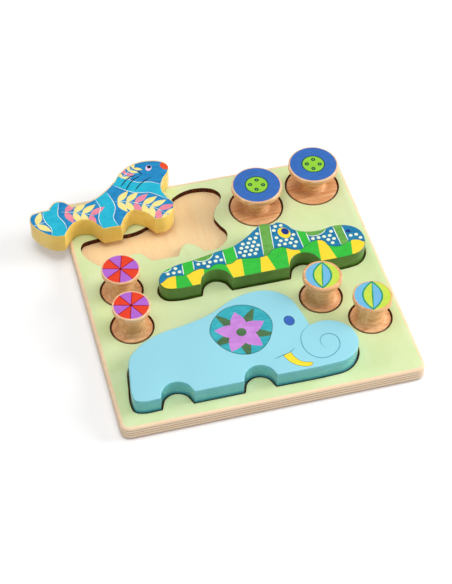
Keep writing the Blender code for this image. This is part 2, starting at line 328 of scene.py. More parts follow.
def rounded_square(half: float, radius: float, steps: int = 12) -> list[Vector]:
    """A square with round corners about the origin.

    Args:
        half: half its side.
        radius: of its corners.
        steps: spans to a corner.

    Returns:
        Its points, anticlockwise.
    """
    points = []
    for quarter, (side_x, side_y) in enumerate(((1, 1), (-1, 1), (-1, -1), (1, -1))):
        centre = Vector((side_x, side_y)) * (half - radius)
        for step in range(steps + 1):
            angle = math.pi / 2 * (quarter + step / steps)
            points.append(centre + Vector((math.cos(angle), math.sin(angle))) * radius)
    return points


def ellipse(centre: Place, wide: float, tall: float, turn: float = 0.0, steps: int = 48) -> list[Vector]:
    """An ellipse on the tray.

    Args:
        centre: in millimetres.
        wide, tall: half its axes along x and y, in millimetres.
        turn: in radians, anticlockwise.
        steps: corners of the outline.

    Returns:
        Its points in metres, anticlockwise.
    """
    rotation = Matrix.Rotation(turn, 2)
    points = []
    for step in range(steps):
        angle = 2 * math.pi * step / steps
        arm = rotation @ Vector((wide * math.cos(angle), tall * math.sin(angle)))
        points.append((Vector(centre) + arm) * MM)
    return points


def disc(centre: Place, radius: float, steps: int = 48) -> list[Vector]:
    """A circle on the tray, in metres; its centre and radius are in millimetres."""
    return ellipse(centre, radius, radius, 0.0, steps)


def leaf(root: Place, length: float, width: float, turn: float, steps: int = 14) -> list[Vector]:
    """A pointed leaf that springs from its root.

    Args:
        root: in millimetres on the tray.
        length, width: in millimetres.
        turn: the way it points, in radians.
        steps: spans to a side.

    Returns:
        Its points in metres, anticlockwise.
    """
    rotation = Matrix.Rotation(turn, 2)
    there = [(step / steps, -0.5) for step in range(steps)]
    back = [(1 - step / steps, 0.5) for step in range(steps)]
    points = []
    for along, side in there + back:
        across = side * math.sin(math.pi * along ** LEAF_BELLY)
        points.append((Vector(root) + rotation @ Vector((along * length, across * width))) * MM)
    return points


def holds(outline: Sequence[Vector], point: Vector) -> bool:
    """Whether a closed outline holds a point.

    Args:
        outline: its corners.
        point: what is looked for.

    Returns:
        True if a line from the point to the right crosses the outline an odd number of times.
    """
    inside = False
    for index, corner in enumerate(outline):
        previous = outline[index - 1]
        if (corner.y > point.y) != (previous.y > point.y):
            crossing = corner.x + (point.y - corner.y) / (previous.y - corner.y) * (previous.x - corner.x)
            inside ^= point.x < crossing
    return inside


def beside(path: Sequence[Vector], distance: float) -> list[Vector]:
    """A path moved sideways.

    Args:
        path: an open path.
        distance: to its left, to its right if negative.

    Returns:
        As many points.
    """
    moved = []
    for index, point in enumerate(path):
        way = (path[min(index + 1, len(path) - 1)] - path[max(index - 1, 0)]).normalized()
        moved.append(point + Vector((-way.y, way.x)) * distance)
    return moved


def along(path: Sequence[Vector], spacing: float) -> list[tuple[Vector, float]]:
    """Places along a path.

    Args:
        path: an open path.
        spacing: between two places, half of it before the first.

    Returns:
        Each place with the path's direction there, in radians.
    """
    places, travelled = [], spacing / 2
    for start, end in zip(path, path[1:]):
        way = end - start
        while travelled <= way.length:
            places.append((start + way.normalized() * travelled, math.atan2(way.y, way.x)))
            travelled += spacing
        travelled -= way.length
    return places


def quarter_turn(steps: int) -> list[tuple[float, float]]:
    """(cosine, sine) at each step from 0 to 90 degrees."""
    angles = [math.pi / 2 * step / steps for step in range(steps + 1)]
    return [(math.cos(angle), math.sin(angle)) for angle in angles]


def eased(radius: float, steps: int) -> list[tuple[float, float]]:
    """(inset, depth) of a quarter round, from the upright wall, inset 0, to the flat face, depth 0."""
    return [(radius * (1 - cosine), radius * (1 - sine)) for cosine, sine in quarter_turn(steps)]


# Finishes

class Graph:
    """A node tree that is being wired, with short calls for the nodes that come often."""

    def __init__(self, tree: bpy.types.NodeTree) -> None:
        """Work on a tree."""
        self.tree = tree

    def feed(self, node: bpy.types.Node, inputs: Inputs) -> None:
        """Link or set some inputs of a node.

        Args:
            node: one of the tree's.
            inputs: by name or place, the socket that each is linked to or the value it is set to.
        """
        for key, value in inputs.items():
            if isinstance(value, bpy.types.NodeSocket):
                self.tree.links.new(value, node.inputs[key])
            else:
                node.inputs[key].default_value = value

    def node(self, kind: str, inputs: Inputs | None = None, **settings: object) -> bpy.types.Node:
        """A new node.

        Args:
            kind: its type.
            inputs: what is linked or set at some of its inputs.
            settings: its own options.

        Returns:
            The node.
        """
        node = self.tree.nodes.new(kind)
        for name, value in settings.items():
            setattr(node, name, value)
        self.feed(node, inputs or {})
        return node

    def maths(self, operation: str, *terms: object) -> Socket:
        """The result of a Math node on numbers or sockets."""
        return self.node("ShaderNodeMath", dict(enumerate(terms)), operation=operation).outputs[0]

    def vectors(self, operation: str, *terms: object) -> Socket:
        """The result of a Vector Math node on vectors or sockets."""
        node = self.node("ShaderNodeVectorMath", dict(enumerate(terms)), operation=operation)
        return node.outputs["Value" if operation == "LENGTH" else "Vector"]

    def weighed(self, first: object, share: float, second: object, rest: float) -> Socket:
        """The sum of two values, each times its own share."""
        return self.maths("MULTIPLY_ADD", first, share, self.maths("MULTIPLY", second, rest))

    def step(self, value: object, low: float, high: float) -> Socket:
        """0 below low, 1 above high and a smooth rise between."""
        span = {"Value": value, "From Min": low, "From Max": high}
        return self.node("ShaderNodeMapRange", span, interpolation_type="SMOOTHSTEP").outputs["Result"]

    def mix(self, factor: object, first: object, second: object) -> Socket:
        """A colour between two, by a factor."""
        return self.node("ShaderNodeMix", {0: factor, 6: first, 7: second}, data_type="RGBA").outputs[2]

    def split(self, vector: Socket) -> bpy.types.NodeOutputs:
        """The outputs X, Y and Z of a vector."""
        return self.node("ShaderNodeSeparateXYZ", {0: vector}).outputs

    def arm(self, radius: object, angle: object, height: object = 0.0) -> Socket:
        """The point at a radius, an angle and a height.

        Args:
            radius: from the Z axis.
            angle: about it, in radians.
            height: along it.

        Returns:
            The point as a vector.
        """
        across = self.maths("MULTIPLY", radius, self.maths("COSINE", angle))
        deep = self.maths("MULTIPLY", radius, self.maths("SINE", angle))
        return self.node("ShaderNodeCombineXYZ", {"X": across, "Y": deep, "Z": height}).outputs[0]

    def place(self, centre: Sequence[float] = (0, 0, 0), turn: float = 0.0,
              scale: Sequence[float] = (1, 1, 1)) -> Socket:
        """Object coordinates.

        Args:
            centre: where they are measured from.
            turn: about Z, in radians.
            scale: along each axis.

        Returns:
            The coordinates as a vector.
        """
        coordinates = self.node("ShaderNodeTexCoord").outputs["Object"]
        away = [-value for value in centre]
        shift = self.node("ShaderNodeMapping", {"Vector": coordinates, "Location": away})
        spread = self.node("ShaderNodeMapping", {
            "Vector": shift.outputs["Vector"], "Rotation": (0, 0, turn), "Scale": scale})
        return spread.outputs["Vector"]

    def noise(self, vector: Socket, scale: float, detail: float = 3.0, roughness: float = 0.5,
              bend: float = 0.0) -> Socket:
        """Noise, from about 0.25 to 0.75.

        Args:
            vector: where it is taken.
            scale, detail, roughness, bend: of the Noise node.

        Returns:
            Its value.
        """
        return self.node("ShaderNodeTexNoise", {
            "Vector": vector, "Scale": scale, "Detail": detail, "Roughness": roughness, "Distortion": bend,
        }).outputs[0]


class Finish:
    """What a surface is painted or left with; each kind says how its colour, gloss and relief are made."""

    name: str
    roughness: float
    relief: float = 0.02 * MM
    sheen: float = 0.4
    coat: float = 0.0
    coat_roughness: float = 0.12
    gloss_spread: float = 0.16

    def material(self) -> bpy.types.Material:
        """The material of this finish, made once.

        Returns:
            The material, from the first call on.
        """
        known = bpy.data.materials.get(self.name)
        if known:
            return known
        made = bpy.data.materials.new(self.name)
        made.use_nodes = True
        graph = Graph(made.node_tree)
        colour, height = self.wire(graph)
        bump = graph.node("ShaderNodeBump", {"Strength": 1.0, "Distance": self.relief, "Height": height})
        gloss = graph.maths("MULTIPLY_ADD", height, self.gloss_spread, self.roughness - self.gloss_spread / 2)
        graph.feed(made.node_tree.nodes["Principled BSDF"], {
            "Base Color": colour, "Roughness": gloss, "Normal": bump.outputs["Normal"],
            "Specular IOR Level": self.sheen, "Coat Weight": self.coat, "Coat Roughness": self.coat_roughness,
        })
        return made

    def wire(self, graph: Graph) -> tuple[Socket, Socket]:
        """Build the pattern.

        Args:
            graph: the material's tree.

        Returns:
            The sockets of the colour and of the surface's height, 0 to 1.
        """
        raise NotImplementedError


class Grain(Enum):
    """The way the wood's fibres run."""

    ALONG_X = (9.0, 120.0, 120.0)
    ALONG_Y = (120.0, 9.0, 120.0)


@dataclass(frozen=True)
class Timber(Finish):
    """Bare sanded wood with figure, fibres and short dark pores."""

    name: str
    pale: Tint
    warm: Tint
    pore: Tint
    grain: Grain = Grain.ALONG_X
    centre: tuple[float, float, float] = (0.0, 0.0, 0.0)
    turn: float = 0.0
    roughness: float = 0.52
    pores: float = 0.5

    def wire(self, graph: Graph) -> tuple[Socket, Socket]:
        """Figure in broad bands, fibres inside them and pores on top.

        Args:
            graph: the material's tree.

        Returns:
            The sockets of the colour and of the surface's height.
        """
        run = graph.place(self.centre, self.turn, self.grain.value)
        figure = graph.noise(run, 0.9, 2, 0.5, 1.2)
        fibres = graph.noise(run, 7.0, 4, 0.6, 0.3)
        flecks = graph.noise(run, 22.0, 2, 0.5)
        tone = graph.weighed(graph.step(fibres, 0.35, 0.65), 0.45, graph.step(figure, 0.34, 0.66), 0.55)
        wood = graph.mix(tone, screen(self.pale), screen(self.warm))
        dots = graph.maths("MULTIPLY", graph.step(flecks, 0.6, 0.7), self.pores)
        height = graph.maths("SUBTRACT", graph.step(fibres, 0.2, 0.8), graph.maths("MULTIPLY", dots, 0.5))
        return graph.mix(dots, wood, screen(self.pore)), height


@dataclass(frozen=True)
class Paint(Finish):
    """Opaque satin paint on wood, a little uneven, with the fibres telling through."""

    name: str
    colour: Tint
    shade: Tint
    roughness: float = 0.42
    mottle: float = 45.0
    grain: Grain = Grain.ALONG_X
    relief: float = 0.012 * MM
    sheen: float = 0.4
    coat: float = 0.0

    def wire(self, graph: Graph) -> tuple[Socket, Socket]:
        """Soft clouds of the two shades over faint fibres.

        Args:
            graph: the material's tree.

        Returns:
            The sockets of the colour and of the surface's height.
        """
        clouds = graph.step(graph.noise(graph.place(), self.mottle, 3, 0.55, 0.4), 0.3, 0.7)
        fibres = graph.noise(graph.place(scale=self.grain.value), 6.0, 3, 0.6)
        tone = graph.step(graph.weighed(fibres, 0.5, clouds, 0.5), 0.15, 0.85)
        return graph.mix(tone, screen(self.colour), screen(self.shade)), graph.step(fibres, 0.2, 0.8)


@dataclass(frozen=True)
class BrushedInk(Finish):
    """Printed water colour: strokes of a brush in two depths of one colour."""

    name: str
    colour: Tint
    shade: Tint
    turn: float = 0.5
    depth: float = 0.8
    roughness: float = 0.6
    relief: float = 0.004 * MM
    sheen: float = 0.25

    def wire(self, graph: Graph) -> tuple[Socket, Socket]:
        """Long strokes, broken by blotches where the colour pooled.

        Args:
            graph: the material's tree.

        Returns:
            The sockets of the colour and of the surface's height.
        """
        strokes = graph.noise(graph.place(turn=self.turn, scale=(90, 620, 300)), 1.0, 4, 0.65, 0.6)
        pools = graph.noise(graph.place(), 130.0, 3, 0.6, 0.8)
        tone = graph.step(graph.weighed(strokes, 0.6, pools, 0.4), 0.36, 0.62)
        share = graph.maths("MULTIPLY", tone, self.depth)
        return graph.mix(share, screen(self.colour), screen(self.shade)), graph.step(strokes, 0.2, 0.8)


@dataclass(frozen=True)
class BorderedPrint(Finish):
    """The lime print of the tray's top, which stops short of the sanded edge."""

    name: str
    colour: Tint
    shade: Tint
    wood: Timber
    margin: float
    roughness: float = 0.55
    relief: float = 0.01 * MM
    sheen: float = 0.3
    wander: float = 0.5 * MM
    softness: float = 0.15 * MM

    def wire(self, graph: Graph) -> tuple[Socket, Socket]:
        """The print's clouds inside a round-cornered square with a ragged edge, and bare wood outside it.

        Args:
            graph: the material's tree.

        Returns:
            The sockets of the colour and of the surface's height.
        """
        bare, fibres = self.wood.wire(graph)
        clouds = graph.step(graph.noise(graph.place(), 26.0, 4, 0.6, 0.8), 0.32, 0.68)
        weave = graph.noise(graph.place(scale=Grain.ALONG_Y.value), 5.0, 3, 0.6)
        tone = graph.step(graph.weighed(weave, 0.4, clouds, 0.6), 0.2, 0.8)
        print_colour = graph.mix(tone, screen(self.colour), screen(self.shade))
        radius = TRAY_CORNER_RADIUS - self.margin
        inner = TRAY_HALF - self.margin - radius
        flat = graph.vectors("ABSOLUTE", graph.place(scale=(1, 1, 0)))
        beyond = graph.vectors("SUBTRACT", flat, (inner, inner, 0))
        away = graph.vectors("LENGTH", graph.vectors("MAXIMUM", beyond, (0, 0, 0)))
        past = graph.maths("SUBTRACT", away, radius + self.wander / 2)
        ragged = graph.maths("MULTIPLY_ADD", graph.noise(graph.place(), 300.0, 2, 0.5), self.wander, past)
        return graph.mix(graph.step(ragged, -self.softness, self.softness), print_colour, bare), fibres


@dataclass(frozen=True)
class PlyEdge(Finish):
    """The sanded edge of a plywood board: plies, some end grain, dark lines of glue, and painted shade
    towards the bottom.
    """

    name: str
    pale: Tint
    end: Tint
    glue: Tint
    ply: float = 2.65 * MM
    first: float = 2.4 * MM
    wave: float = 0.3 * MM
    # Heights over which the painted shade at the bottom of the edge fades out
    shade_foot_low: float = 0.5 * MM
    shade_foot_high: float = 2.4 * MM
    darkness: float = 0.8
    roughness: float = 0.6

    def wire(self, graph: Graph) -> tuple[Socket, Socket]:
        """Plies counted up from the underside, their glue lines slightly wavy, and a foot darkened by painted
        contact shade.

        Args:
            graph: the material's tree.

        Returns:
            The sockets of the colour and of the surface's height.
        """
        wavy = graph.noise(graph.place(scale=(1, 1, 0.2)), 34.0, 2, 0.5)
        height = graph.split(graph.place())["Z"]
        level = graph.maths("MULTIPLY_ADD", wavy, self.wave, graph.maths("SUBTRACT", height, self.first))
        plies = graph.maths("DIVIDE", level, self.ply)
        from_middle = graph.maths("ABSOLUTE", graph.maths("SUBTRACT", graph.maths("FRACT", plies), 0.5))
        glue = graph.step(from_middle, 0.34, 0.46)
        odd = graph.maths("FLOORED_MODULO", graph.maths("FLOOR", plies), 2.0)
        fibres = graph.noise(graph.place(scale=(60, 60, 600)), 4.0, 4, 0.6)
        slant = graph.noise(graph.place(scale=(260, 260, 90)), 2.6, 3, 0.6, 0.5)
        tone = graph.weighed(graph.step(fibres, 0.3, 0.7), 0.3, odd, 0.4)
        tone = graph.maths("MULTIPLY_ADD", graph.step(slant, 0.35, 0.65), 0.2, tone)
        wood = graph.mix(tone, screen(self.pale), screen(self.end))
        # Painted shade: the edge darkens towards its bottom, where it meets the floor
        foot = graph.maths("SUBTRACT", 1.0, graph.step(height, self.shade_foot_low, self.shade_foot_high))
        dark = graph.maths("MULTIPLY", graph.maths("MAXIMUM", glue, foot), self.darkness)
        relief = graph.maths("SUBTRACT", graph.step(fibres, 0.2, 0.8), graph.maths("MULTIPLY", glue, 0.6))
        return graph.mix(dark, wood, screen(self.glue)), relief


@dataclass(frozen=True)
class BurntCut(Finish):
    """A wall browned by the laser that cut it, in fine upright streaks."""

    name: str
    dark: Tint
    brown: Tint
    roughness: float = 0.75
    sheen: float = 0.12

    def wire(self, graph: Graph) -> tuple[Socket, Socket]:
        """Upright streaks from dark to brown."""
        streaks = graph.noise(graph.place(scale=(900, 900, 40)), 1.0, 3, 0.6)
        return graph.mix(graph.step(streaks, 0.35, 0.7), screen(self.dark), screen(self.brown)), streaks


BIRCH_TOP = Timber("birch_face", (253, 226, 192), (248, 212, 172), (230, 182, 136), pores=0.3)
BIRCH_FLOOR = Timber(
    "birch_floor", (255, 226, 174), (254, 214, 160), (240, 192, 136), Grain.ALONG_Y, turn=0.12, pores=0.3)
BEECH = Timber("beech", (255, 206, 152), (222, 148, 90), (150, 84, 42), roughness=0.5, pores=0.6)
# Paler beech for the spools' upper edge: a painted highlight of the rounded corner
BEECH_HIGHLIGHT = Timber("beech_painted_highlight", (255, 222, 182), (238, 180, 130), (178, 116, 74), roughness=0.5, pores=0.4)
PLY_EDGE = PlyEdge("ply_edge", (255, 236, 206), (253, 220, 184), (150, 98, 70))
# Laser-burnt walls; the same colour also paints the bead and the dark line round pockets, painted shade of
# the gaps
BURNT_AND_SHADE = BurntCut("burnt_cut_and_shade", (58, 26, 10), (106, 54, 26))
LIME_PRINT = BorderedPrint("lime_print", (222, 236, 184), (215, 232, 172), BIRCH_TOP, 2.5 * MM)

SKY_PAINT = Paint("sky_blue_paint", (152, 218, 233), (146, 213, 230))
SKY_SIDE = Paint("sky_blue_side", (91, 188, 199), (80, 178, 190), 0.3, sheen=0.6, coat=0.8)
GREEN_SIDE = Paint("leaf_green_side", (86, 136, 46), (70, 114, 36), 0.34, coat=0.4)
OCHRE_SIDE = Paint("ochre_side", (255, 220, 112), (246, 204, 90), 0.42, coat=0.4)

LINE_TEAL = BrushedInk("teal_line", (62, 158, 178), (50, 142, 164))
LINE_DARK = BrushedInk("dark_line", (18, 42, 76), (10, 30, 60))
LINE_CREAM = BrushedInk("cream_line", (246, 250, 240), (222, 240, 236))
LINE_FOREST = BrushedInk("forest_line", (20, 92, 74), (14, 76, 62))
LINE_OLIVE = BrushedInk("olive_line", (140, 138, 40), (116, 120, 40))
LINE_EAR = BrushedInk("ear_line", (44, 92, 88), (36, 80, 76))

EAR_TEAL = BrushedInk("ear_teal", (66, 186, 196), (34, 158, 176), 0.3)
EAR_VIOLET = BrushedInk("ear_violet", (212, 146, 226), (190, 122, 210), -0.9)
EAR_OLIVE = BrushedInk("ear_olive", (86, 126, 82), (62, 100, 66), 0.9)
EYE_BLUE = BrushedInk("eye_blue", (64, 112, 196), (48, 92, 180))
TUSK_YELLOW = BrushedInk("tusk_yellow", (255, 230, 56), (252, 220, 40), depth=0.5)

RIVER_BLUE = BrushedInk("river_blue", (30, 134, 178), (14, 108, 156), 0.35)
REED_GREEN = BrushedInk("reed_green", (58, 198, 66), (40, 178, 54), depth=0.6)
MOSS_GREEN = BrushedInk("moss_green", (112, 178, 84), (88, 154, 62), -0.4)
BELLY_YELLOW = BrushedInk("belly_yellow", (255, 224, 56), (252, 212, 40), depth=0.5)
CREAM = BrushedInk("cream_spot", (240, 248, 222), (226, 240, 204), depth=0.5)
NIGHT_BLUE = BrushedInk("night_blue", (26, 60, 150), (16, 40, 118))

OCEAN_BLUE = BrushedInk("ocean_blue", (38, 152, 208), (20, 118, 180), 0.35)
LAGOON = BrushedInk("lagoon_blue", (42, 194, 220), (26, 172, 208), -0.5)
STRAW = BrushedInk("straw_yellow", (253, 238, 156), (248, 226, 128), 0.9, 0.6)
ROSE = BrushedInk("rose_pink", (246, 150, 168), (236, 126, 150), 0.2, 0.7)
NOSE_RED = BrushedInk("nose_red", (240, 84, 40), (222, 62, 26))
EYE_PINK = BrushedInk("eye_pink", (250, 214, 236), (240, 190, 222))

WHEEL_RED = BrushedInk("wheel_red", (240, 70, 38), (230, 56, 30), depth=0.6)
WHEEL_VIOLET = BrushedInk("wheel_violet", (186, 108, 214), (172, 92, 204), depth=0.6)
WHEEL_LINE = BrushedInk("wheel_crimson", (168, 20, 52), (150, 14, 44))
BALL_BLUE = BrushedInk("ball_blue", (120, 192, 230), (106, 178, 220), depth=0.6)
BALL_LIME = BrushedInk("ball_lime", (206, 228, 80), (192, 216, 64), depth=0.6)
BALL_LINE = BrushedInk("ball_line", (22, 164, 118), (14, 146, 104))
BUTTON_BLUE = BrushedInk("button_blue", (58, 112, 190), (46, 98, 178), depth=0.6)
BUTTON_LIME = BrushedInk("button_lime", (152, 214, 62), (138, 200, 52), depth=0.6)
BUTTON_LINE = BrushedInk("button_line", (24, 84, 66), (16, 68, 54))


# Meshes

def link(name: str, content: bpy.types.ID) -> Piece:
    """A new object of a mesh, a curve, a lamp or a camera, at the origin.

    Args:
        name: of the object.
        content: its data.

    Returns:
        The object, in the scene.
    """
    made = bpy.data.objects.new(name, content)
    bpy.context.scene.collection.objects.link(made)
    return made


def shaded(piece: Piece, sharp: float = 32.0) -> Piece:
    """Shade a piece smooth, and keep its sharp edges.

    Args:
        piece: a mesh object.
        sharp: the angle, in degrees.

    Returns:
        The same piece.
    """
    piece.data.shade_smooth()
    piece.data.set_sharp_from_angle(angle=math.radians(sharp))
    return piece


class RingSolid:
    """A closed solid built from level rings of points, one above or inside the other."""

    def __init__(self, name: str, finishes: Sequence[Finish]) -> None:
        """Start empty.

        Args:
            name: of the solid.
            finishes: in the order of its material slots.
        """
        self.name = name
        self.finishes = finishes
        self.mesh = bmesh.new()

    def ring(self, points: Sequence[Vector], level: float) -> Ring:
        """New corners at a level."""
        return [self.mesh.verts.new((point.x, point.y, level)) for point in points]

    def face(self, corners: Ring, finish: Finish) -> None:
        """A face with a finish."""
        self.mesh.faces.new(corners).material_index = self.finishes.index(finish)

    def wall(self, rings: Sequence[Ring], finish: Finish) -> None:
        """Faces between each ring and the next.

        Args:
            rings: all with as many corners.
            finish: of the faces.
        """
        for lower, upper in zip(rings, rings[1:]):
            for index in range(len(lower)):
                self.face((lower[index - 1], lower[index], upper[index], upper[index - 1]), finish)

    def sheet(self, rings: Sequence[Ring], finish: Finish) -> None:
        """A flat face inside the first ring and outside the others.

        Args:
            rings: at one level.
            finish: of the face.
        """
        corners = [corner for ring in rings for corner in ring]
        loops, start = [], 0
        for ring in rings:
            loops.append(list(range(start, start + len(ring))))
            start += len(ring)
        places = [corner.co.xy / MM for corner in corners]
        _, _, cells, origins, _, owners = delaunay_2d_cdt(places, [], loops, 1, SAME_POINT)
        for cell, owner in zip(cells, owners):
            if owner == [0]:
                self.face([corners[origins[index][0]] for index in cell], finish)

    def finished(self) -> Piece:
        """The solid as an object, its faces turned outwards.

        Returns:
            The new object, smooth with its sharp edges kept.
        """
        bmesh.ops.recalc_face_normals(self.mesh, faces=self.mesh.faces)
        mesh = bpy.data.meshes.new(self.name)
        self.mesh.to_mesh(mesh)
        self.mesh.free()
        for finish in self.finishes:
            mesh.materials.append(finish.material())
        return shaded(link(self.name, mesh))


class PrintSheet:
    """A thin printed layer: flat areas of ink, cut where they meet, later ones over earlier ones."""

    def __init__(self, name: str, level: float, bounded: bool = False,
                 thickness: float = AREA_THICKNESS) -> None:
        """Start a sheet.

        Args:
            name: of the layer.
            level: of its upper side.
            bounded: whether nothing is printed outside the first shape.
            thickness: of the layer.
        """
        self.name = name
        self.level = level
        self.bounded = bounded
        self.thickness = thickness
        self.shapes: list[tuple[Sequence[Vector], Finish]] = []

    def paint(self, shape: Sequence[Vector], ink: Finish) -> None:
        """Print a closed shape in an ink."""
        self.shapes.append((shape, ink))

    def triangles(self) -> tuple[list[Vector], list[tuple[list[int], Finish]]]:
        """Cut the areas where they meet.

        Returns:
            The corners, in millimetres, and each triangle, anticlockwise, with its ink.
        """
        corners: list[Vector] = []
        outlines: list[list[int]] = []
        for shape, _ in self.shapes:
            outlines.append(list(range(len(corners), len(corners) + len(shape))))
            corners += [point / MM for point in shape]
        places, _, cells, _, _, owners = delaunay_2d_cdt(corners, [], outlines, 1, SAME_POINT)
        result = []
        for cell, owner in zip(cells, owners):
            if owner and (0 in owner or not self.bounded):
                a, b, c = (places[index] for index in cell)
                flipped = (b - a).cross(c - a) < 0
                result.append((list(reversed(cell)) if flipped else list(cell), self.shapes[max(owner)][1]))
        return places, result

    def finished(self) -> Piece:
        """The sheet as one closed mesh.

        Returns:
            The new object, with a material for each ink in use.
        """
        places, faces = self.triangles()
        inks = list(dict.fromkeys(ink for _, ink in faces))
        count = len(places)
        corners = [(place.x * MM, place.y * MM, self.level) for place in places]
        corners += [(x, y, level - self.thickness) for x, y, level in corners]
        sides = {(cell[side - 1], cell[side]): ink for cell, ink in faces for side in range(3)}
        faces += [([index + count for index in reversed(cell)], ink) for cell, ink in faces]
        faces += [([end, start, start + count, end + count], ink)
                  for (start, end), ink in sides.items() if (end, start) not in sides]
        mesh = bpy.data.meshes.new(self.name)
        mesh.from_pydata(corners, [], [cell for cell, _ in faces])
        mesh.polygons.foreach_set("material_index", [inks.index(ink) for _, ink in faces])
        for ink in inks:
            mesh.materials.append(ink.material())
        tidy = bmesh.new()
        tidy.from_mesh(mesh)
        loose = [corner for corner in tidy.verts if not corner.link_faces]
        bmesh.ops.delete(tidy, geom=loose, context="VERTS")
        tidy.to_mesh(mesh)
        tidy.free()
        return link(self.name, mesh)


# Geometry node trees

class Recipe:
    """A geometry node tree with named inputs, and its use on an object."""

    def __init__(self, name: str, inputs: dict[str, str]) -> None:
        """Start the tree.

        Args:
            name: of the tree.
            inputs: kind of each named input, apart from Geometry and Finish.
        """
        self.tree = bpy.data.node_groups.new(name, "GeometryNodeTree")
        self.graph = Graph(self.tree)
        for title, kind in {"Geometry": "Geometry", **inputs, "Finish": "Material"}.items():
            self.tree.interface.new_socket(title, in_out="INPUT", socket_type="NodeSocket" + kind)
        self.tree.interface.new_socket("Geometry", in_out="OUTPUT", socket_type="NodeSocketGeometry")
        self.given = self.graph.node("NodeGroupInput").outputs

    def close(self, geometry: Socket) -> None:
        """End the tree: real geometry, and its finish.

        Args:
            geometry: what the tree has made.
        """
        real = self.graph.node("GeometryNodeRealizeInstances", {"Geometry": geometry})
        dress = self.graph.node("GeometryNodeSetMaterial", {
            "Geometry": real.outputs["Geometry"], "Material": self.given["Finish"]})
        self.graph.node("NodeGroupOutput", {"Geometry": dress.outputs["Geometry"]})

    def close_with_copies(self, points: Socket, turn: object) -> None:
        """End the tree with copies of the input Motif.

        Args:
            points: where the copies go.
            turn: of each about Z, in radians.
        """
        motif = self.graph.node(
            "GeometryNodeObjectInfo", {"Object": self.given["Motif"]}, transform_space="ORIGINAL")
        spin = self.graph.node("ShaderNodeCombineXYZ", {"Z": turn})
        copies = self.graph.node("GeometryNodeInstanceOnPoints", {
            "Points": points, "Instance": motif.outputs["Geometry"], "Rotation": spin.outputs[0]})
        self.close(copies.outputs["Instances"])

    def made(self, name: str, carrier: Piece, finish: Finish, values: dict[str, object]) -> Piece:
        """Run the tree on a carrier.

        Args:
            name: of the new piece.
            carrier: the object whose geometry the tree starts from; it is removed.
            finish: of the new piece.
            values: a value for each other named input.

        Returns:
            The result as a plain mesh object.
        """
        values = {**values, "Finish": finish.material()}
        modifier = carrier.modifiers.new("recipe", "NODES")
        modifier.node_group = self.tree
        for item in self.tree.interface.items_tree:
            if item.item_type == "SOCKET" and item.in_out == "INPUT" and item.name in values:
                modifier[item.identifier] = values[item.name]
        evaluated = carrier.evaluated_get(bpy.context.evaluated_depsgraph_get())
        mesh = bpy.data.meshes.new_from_object(evaluated)
        mesh.name = name
        carrier.modifiers.remove(modifier)
        bpy.data.objects.remove(carrier)
        return link(name, mesh)


def turning_recipe() -> Recipe:
    """A lathe: the carrier's corners, in order from the bottom up, are the profile that is turned.

    Returns:
        The recipe, with inputs Sides, Centre and Finish.
    """
    recipe = Recipe("turned_wood", {"Sides": "Int", "Centre": "Vector"})
    graph, given = recipe.graph, recipe.given
    size = graph.node("GeometryNodeAttributeDomainSize", {"Geometry": given["Geometry"]}, component="MESH")
    rows = size.outputs["Point Count"]
    columns = graph.maths("ADD", given["Sides"], 1.0)
    grid = graph.node("GeometryNodeMeshGrid", {
        "Size X": 1.0, "Size Y": 1.0, "Vertices X": columns, "Vertices Y": rows})
    here = graph.node("GeometryNodeInputPosition").outputs[0]
    across = graph.split(here)
    angle = graph.maths("MULTIPLY", graph.maths("ADD", across["X"], 0.5), 2 * math.pi)
    last = graph.maths("SUBTRACT", rows, 1.0)
    row = graph.maths("ROUND", graph.maths("MULTIPLY", graph.maths("ADD", across["Y"], 0.5), last))
    sample = graph.node("GeometryNodeSampleIndex", {
        "Geometry": given["Geometry"], "Value": here, "Index": row}, data_type="FLOAT_VECTOR", domain="POINT")
    profile = graph.split(sample.outputs[0])
    corner = graph.vectors("ADD", graph.arm(profile["X"], angle, profile["Z"]), given["Centre"])
    put = graph.node("GeometryNodeSetPosition", {"Geometry": grid.outputs["Mesh"], "Position": corner})
    weld = graph.node("GeometryNodeMergeByDistance", {"Geometry": put.outputs["Geometry"], "Distance": WELD})
    recipe.close(weld.outputs["Geometry"])
    return recipe


def stroke_recipe() -> Recipe:
    """A pen stroke: a flat ribbon along the carrier's curve, thinner at both ends.

    Returns:
        The recipe, with inputs Width, Thickness, Point and Finish.
    """
    recipe = Recipe("pen_stroke", {"Width": "Float", "Thickness": "Float", "Point": "Float"})
    graph, given = recipe.graph, recipe.given
    along = graph.node("GeometryNodeSplineParameter").outputs["Factor"]
    end = graph.maths("MINIMUM", along, graph.maths("SUBTRACT", 1.0, along))
    near = graph.maths("MINIMUM", graph.maths("MULTIPLY", end, 1 / PEN_TAPER), 1.0)
    press = graph.maths("MAXIMUM", graph.maths("POWER", near, PEN_FALL), given["Point"])
    flat = graph.node("GeometryNodeSetCurveNormal", {"Curve": given["Geometry"]}, mode="Z_UP")
    pen = graph.node("GeometryNodeCurvePrimitiveQuadrilateral", {
        "Width": given["Width"], "Height": given["Thickness"]})
    ribbon = graph.node("GeometryNodeCurveToMesh", {
        "Curve": flat.outputs["Curve"], "Profile Curve": pen.outputs["Curve"], "Scale": press,
        "Fill Caps": True})
    recipe.close(ribbon.outputs["Mesh"])
    return recipe


def ring_recipe() -> Recipe:
    """Equal motifs in a ring, each turned to face outwards.

    Returns:
        The recipe, with inputs Motif, Count, Radius, Turn, Centre and Finish.
    """
    recipe = Recipe("ring_of_motifs", {
        "Motif": "Object", "Count": "Int", "Radius": "Float", "Turn": "Float", "Centre": "Vector"})
    graph, given = recipe.graph, recipe.given
    share = graph.maths("DIVIDE", graph.node("GeometryNodeInputIndex").outputs[0], given["Count"])
    angle = graph.maths("MULTIPLY_ADD", share, 2 * math.pi, given["Turn"])
    place = graph.vectors("ADD", graph.arm(given["Radius"], angle), given["Centre"])
    points = graph.node("GeometryNodePoints", {"Count": given["Count"], "Position": place})
    recipe.close_with_copies(points.outputs[0], angle)
    return recipe


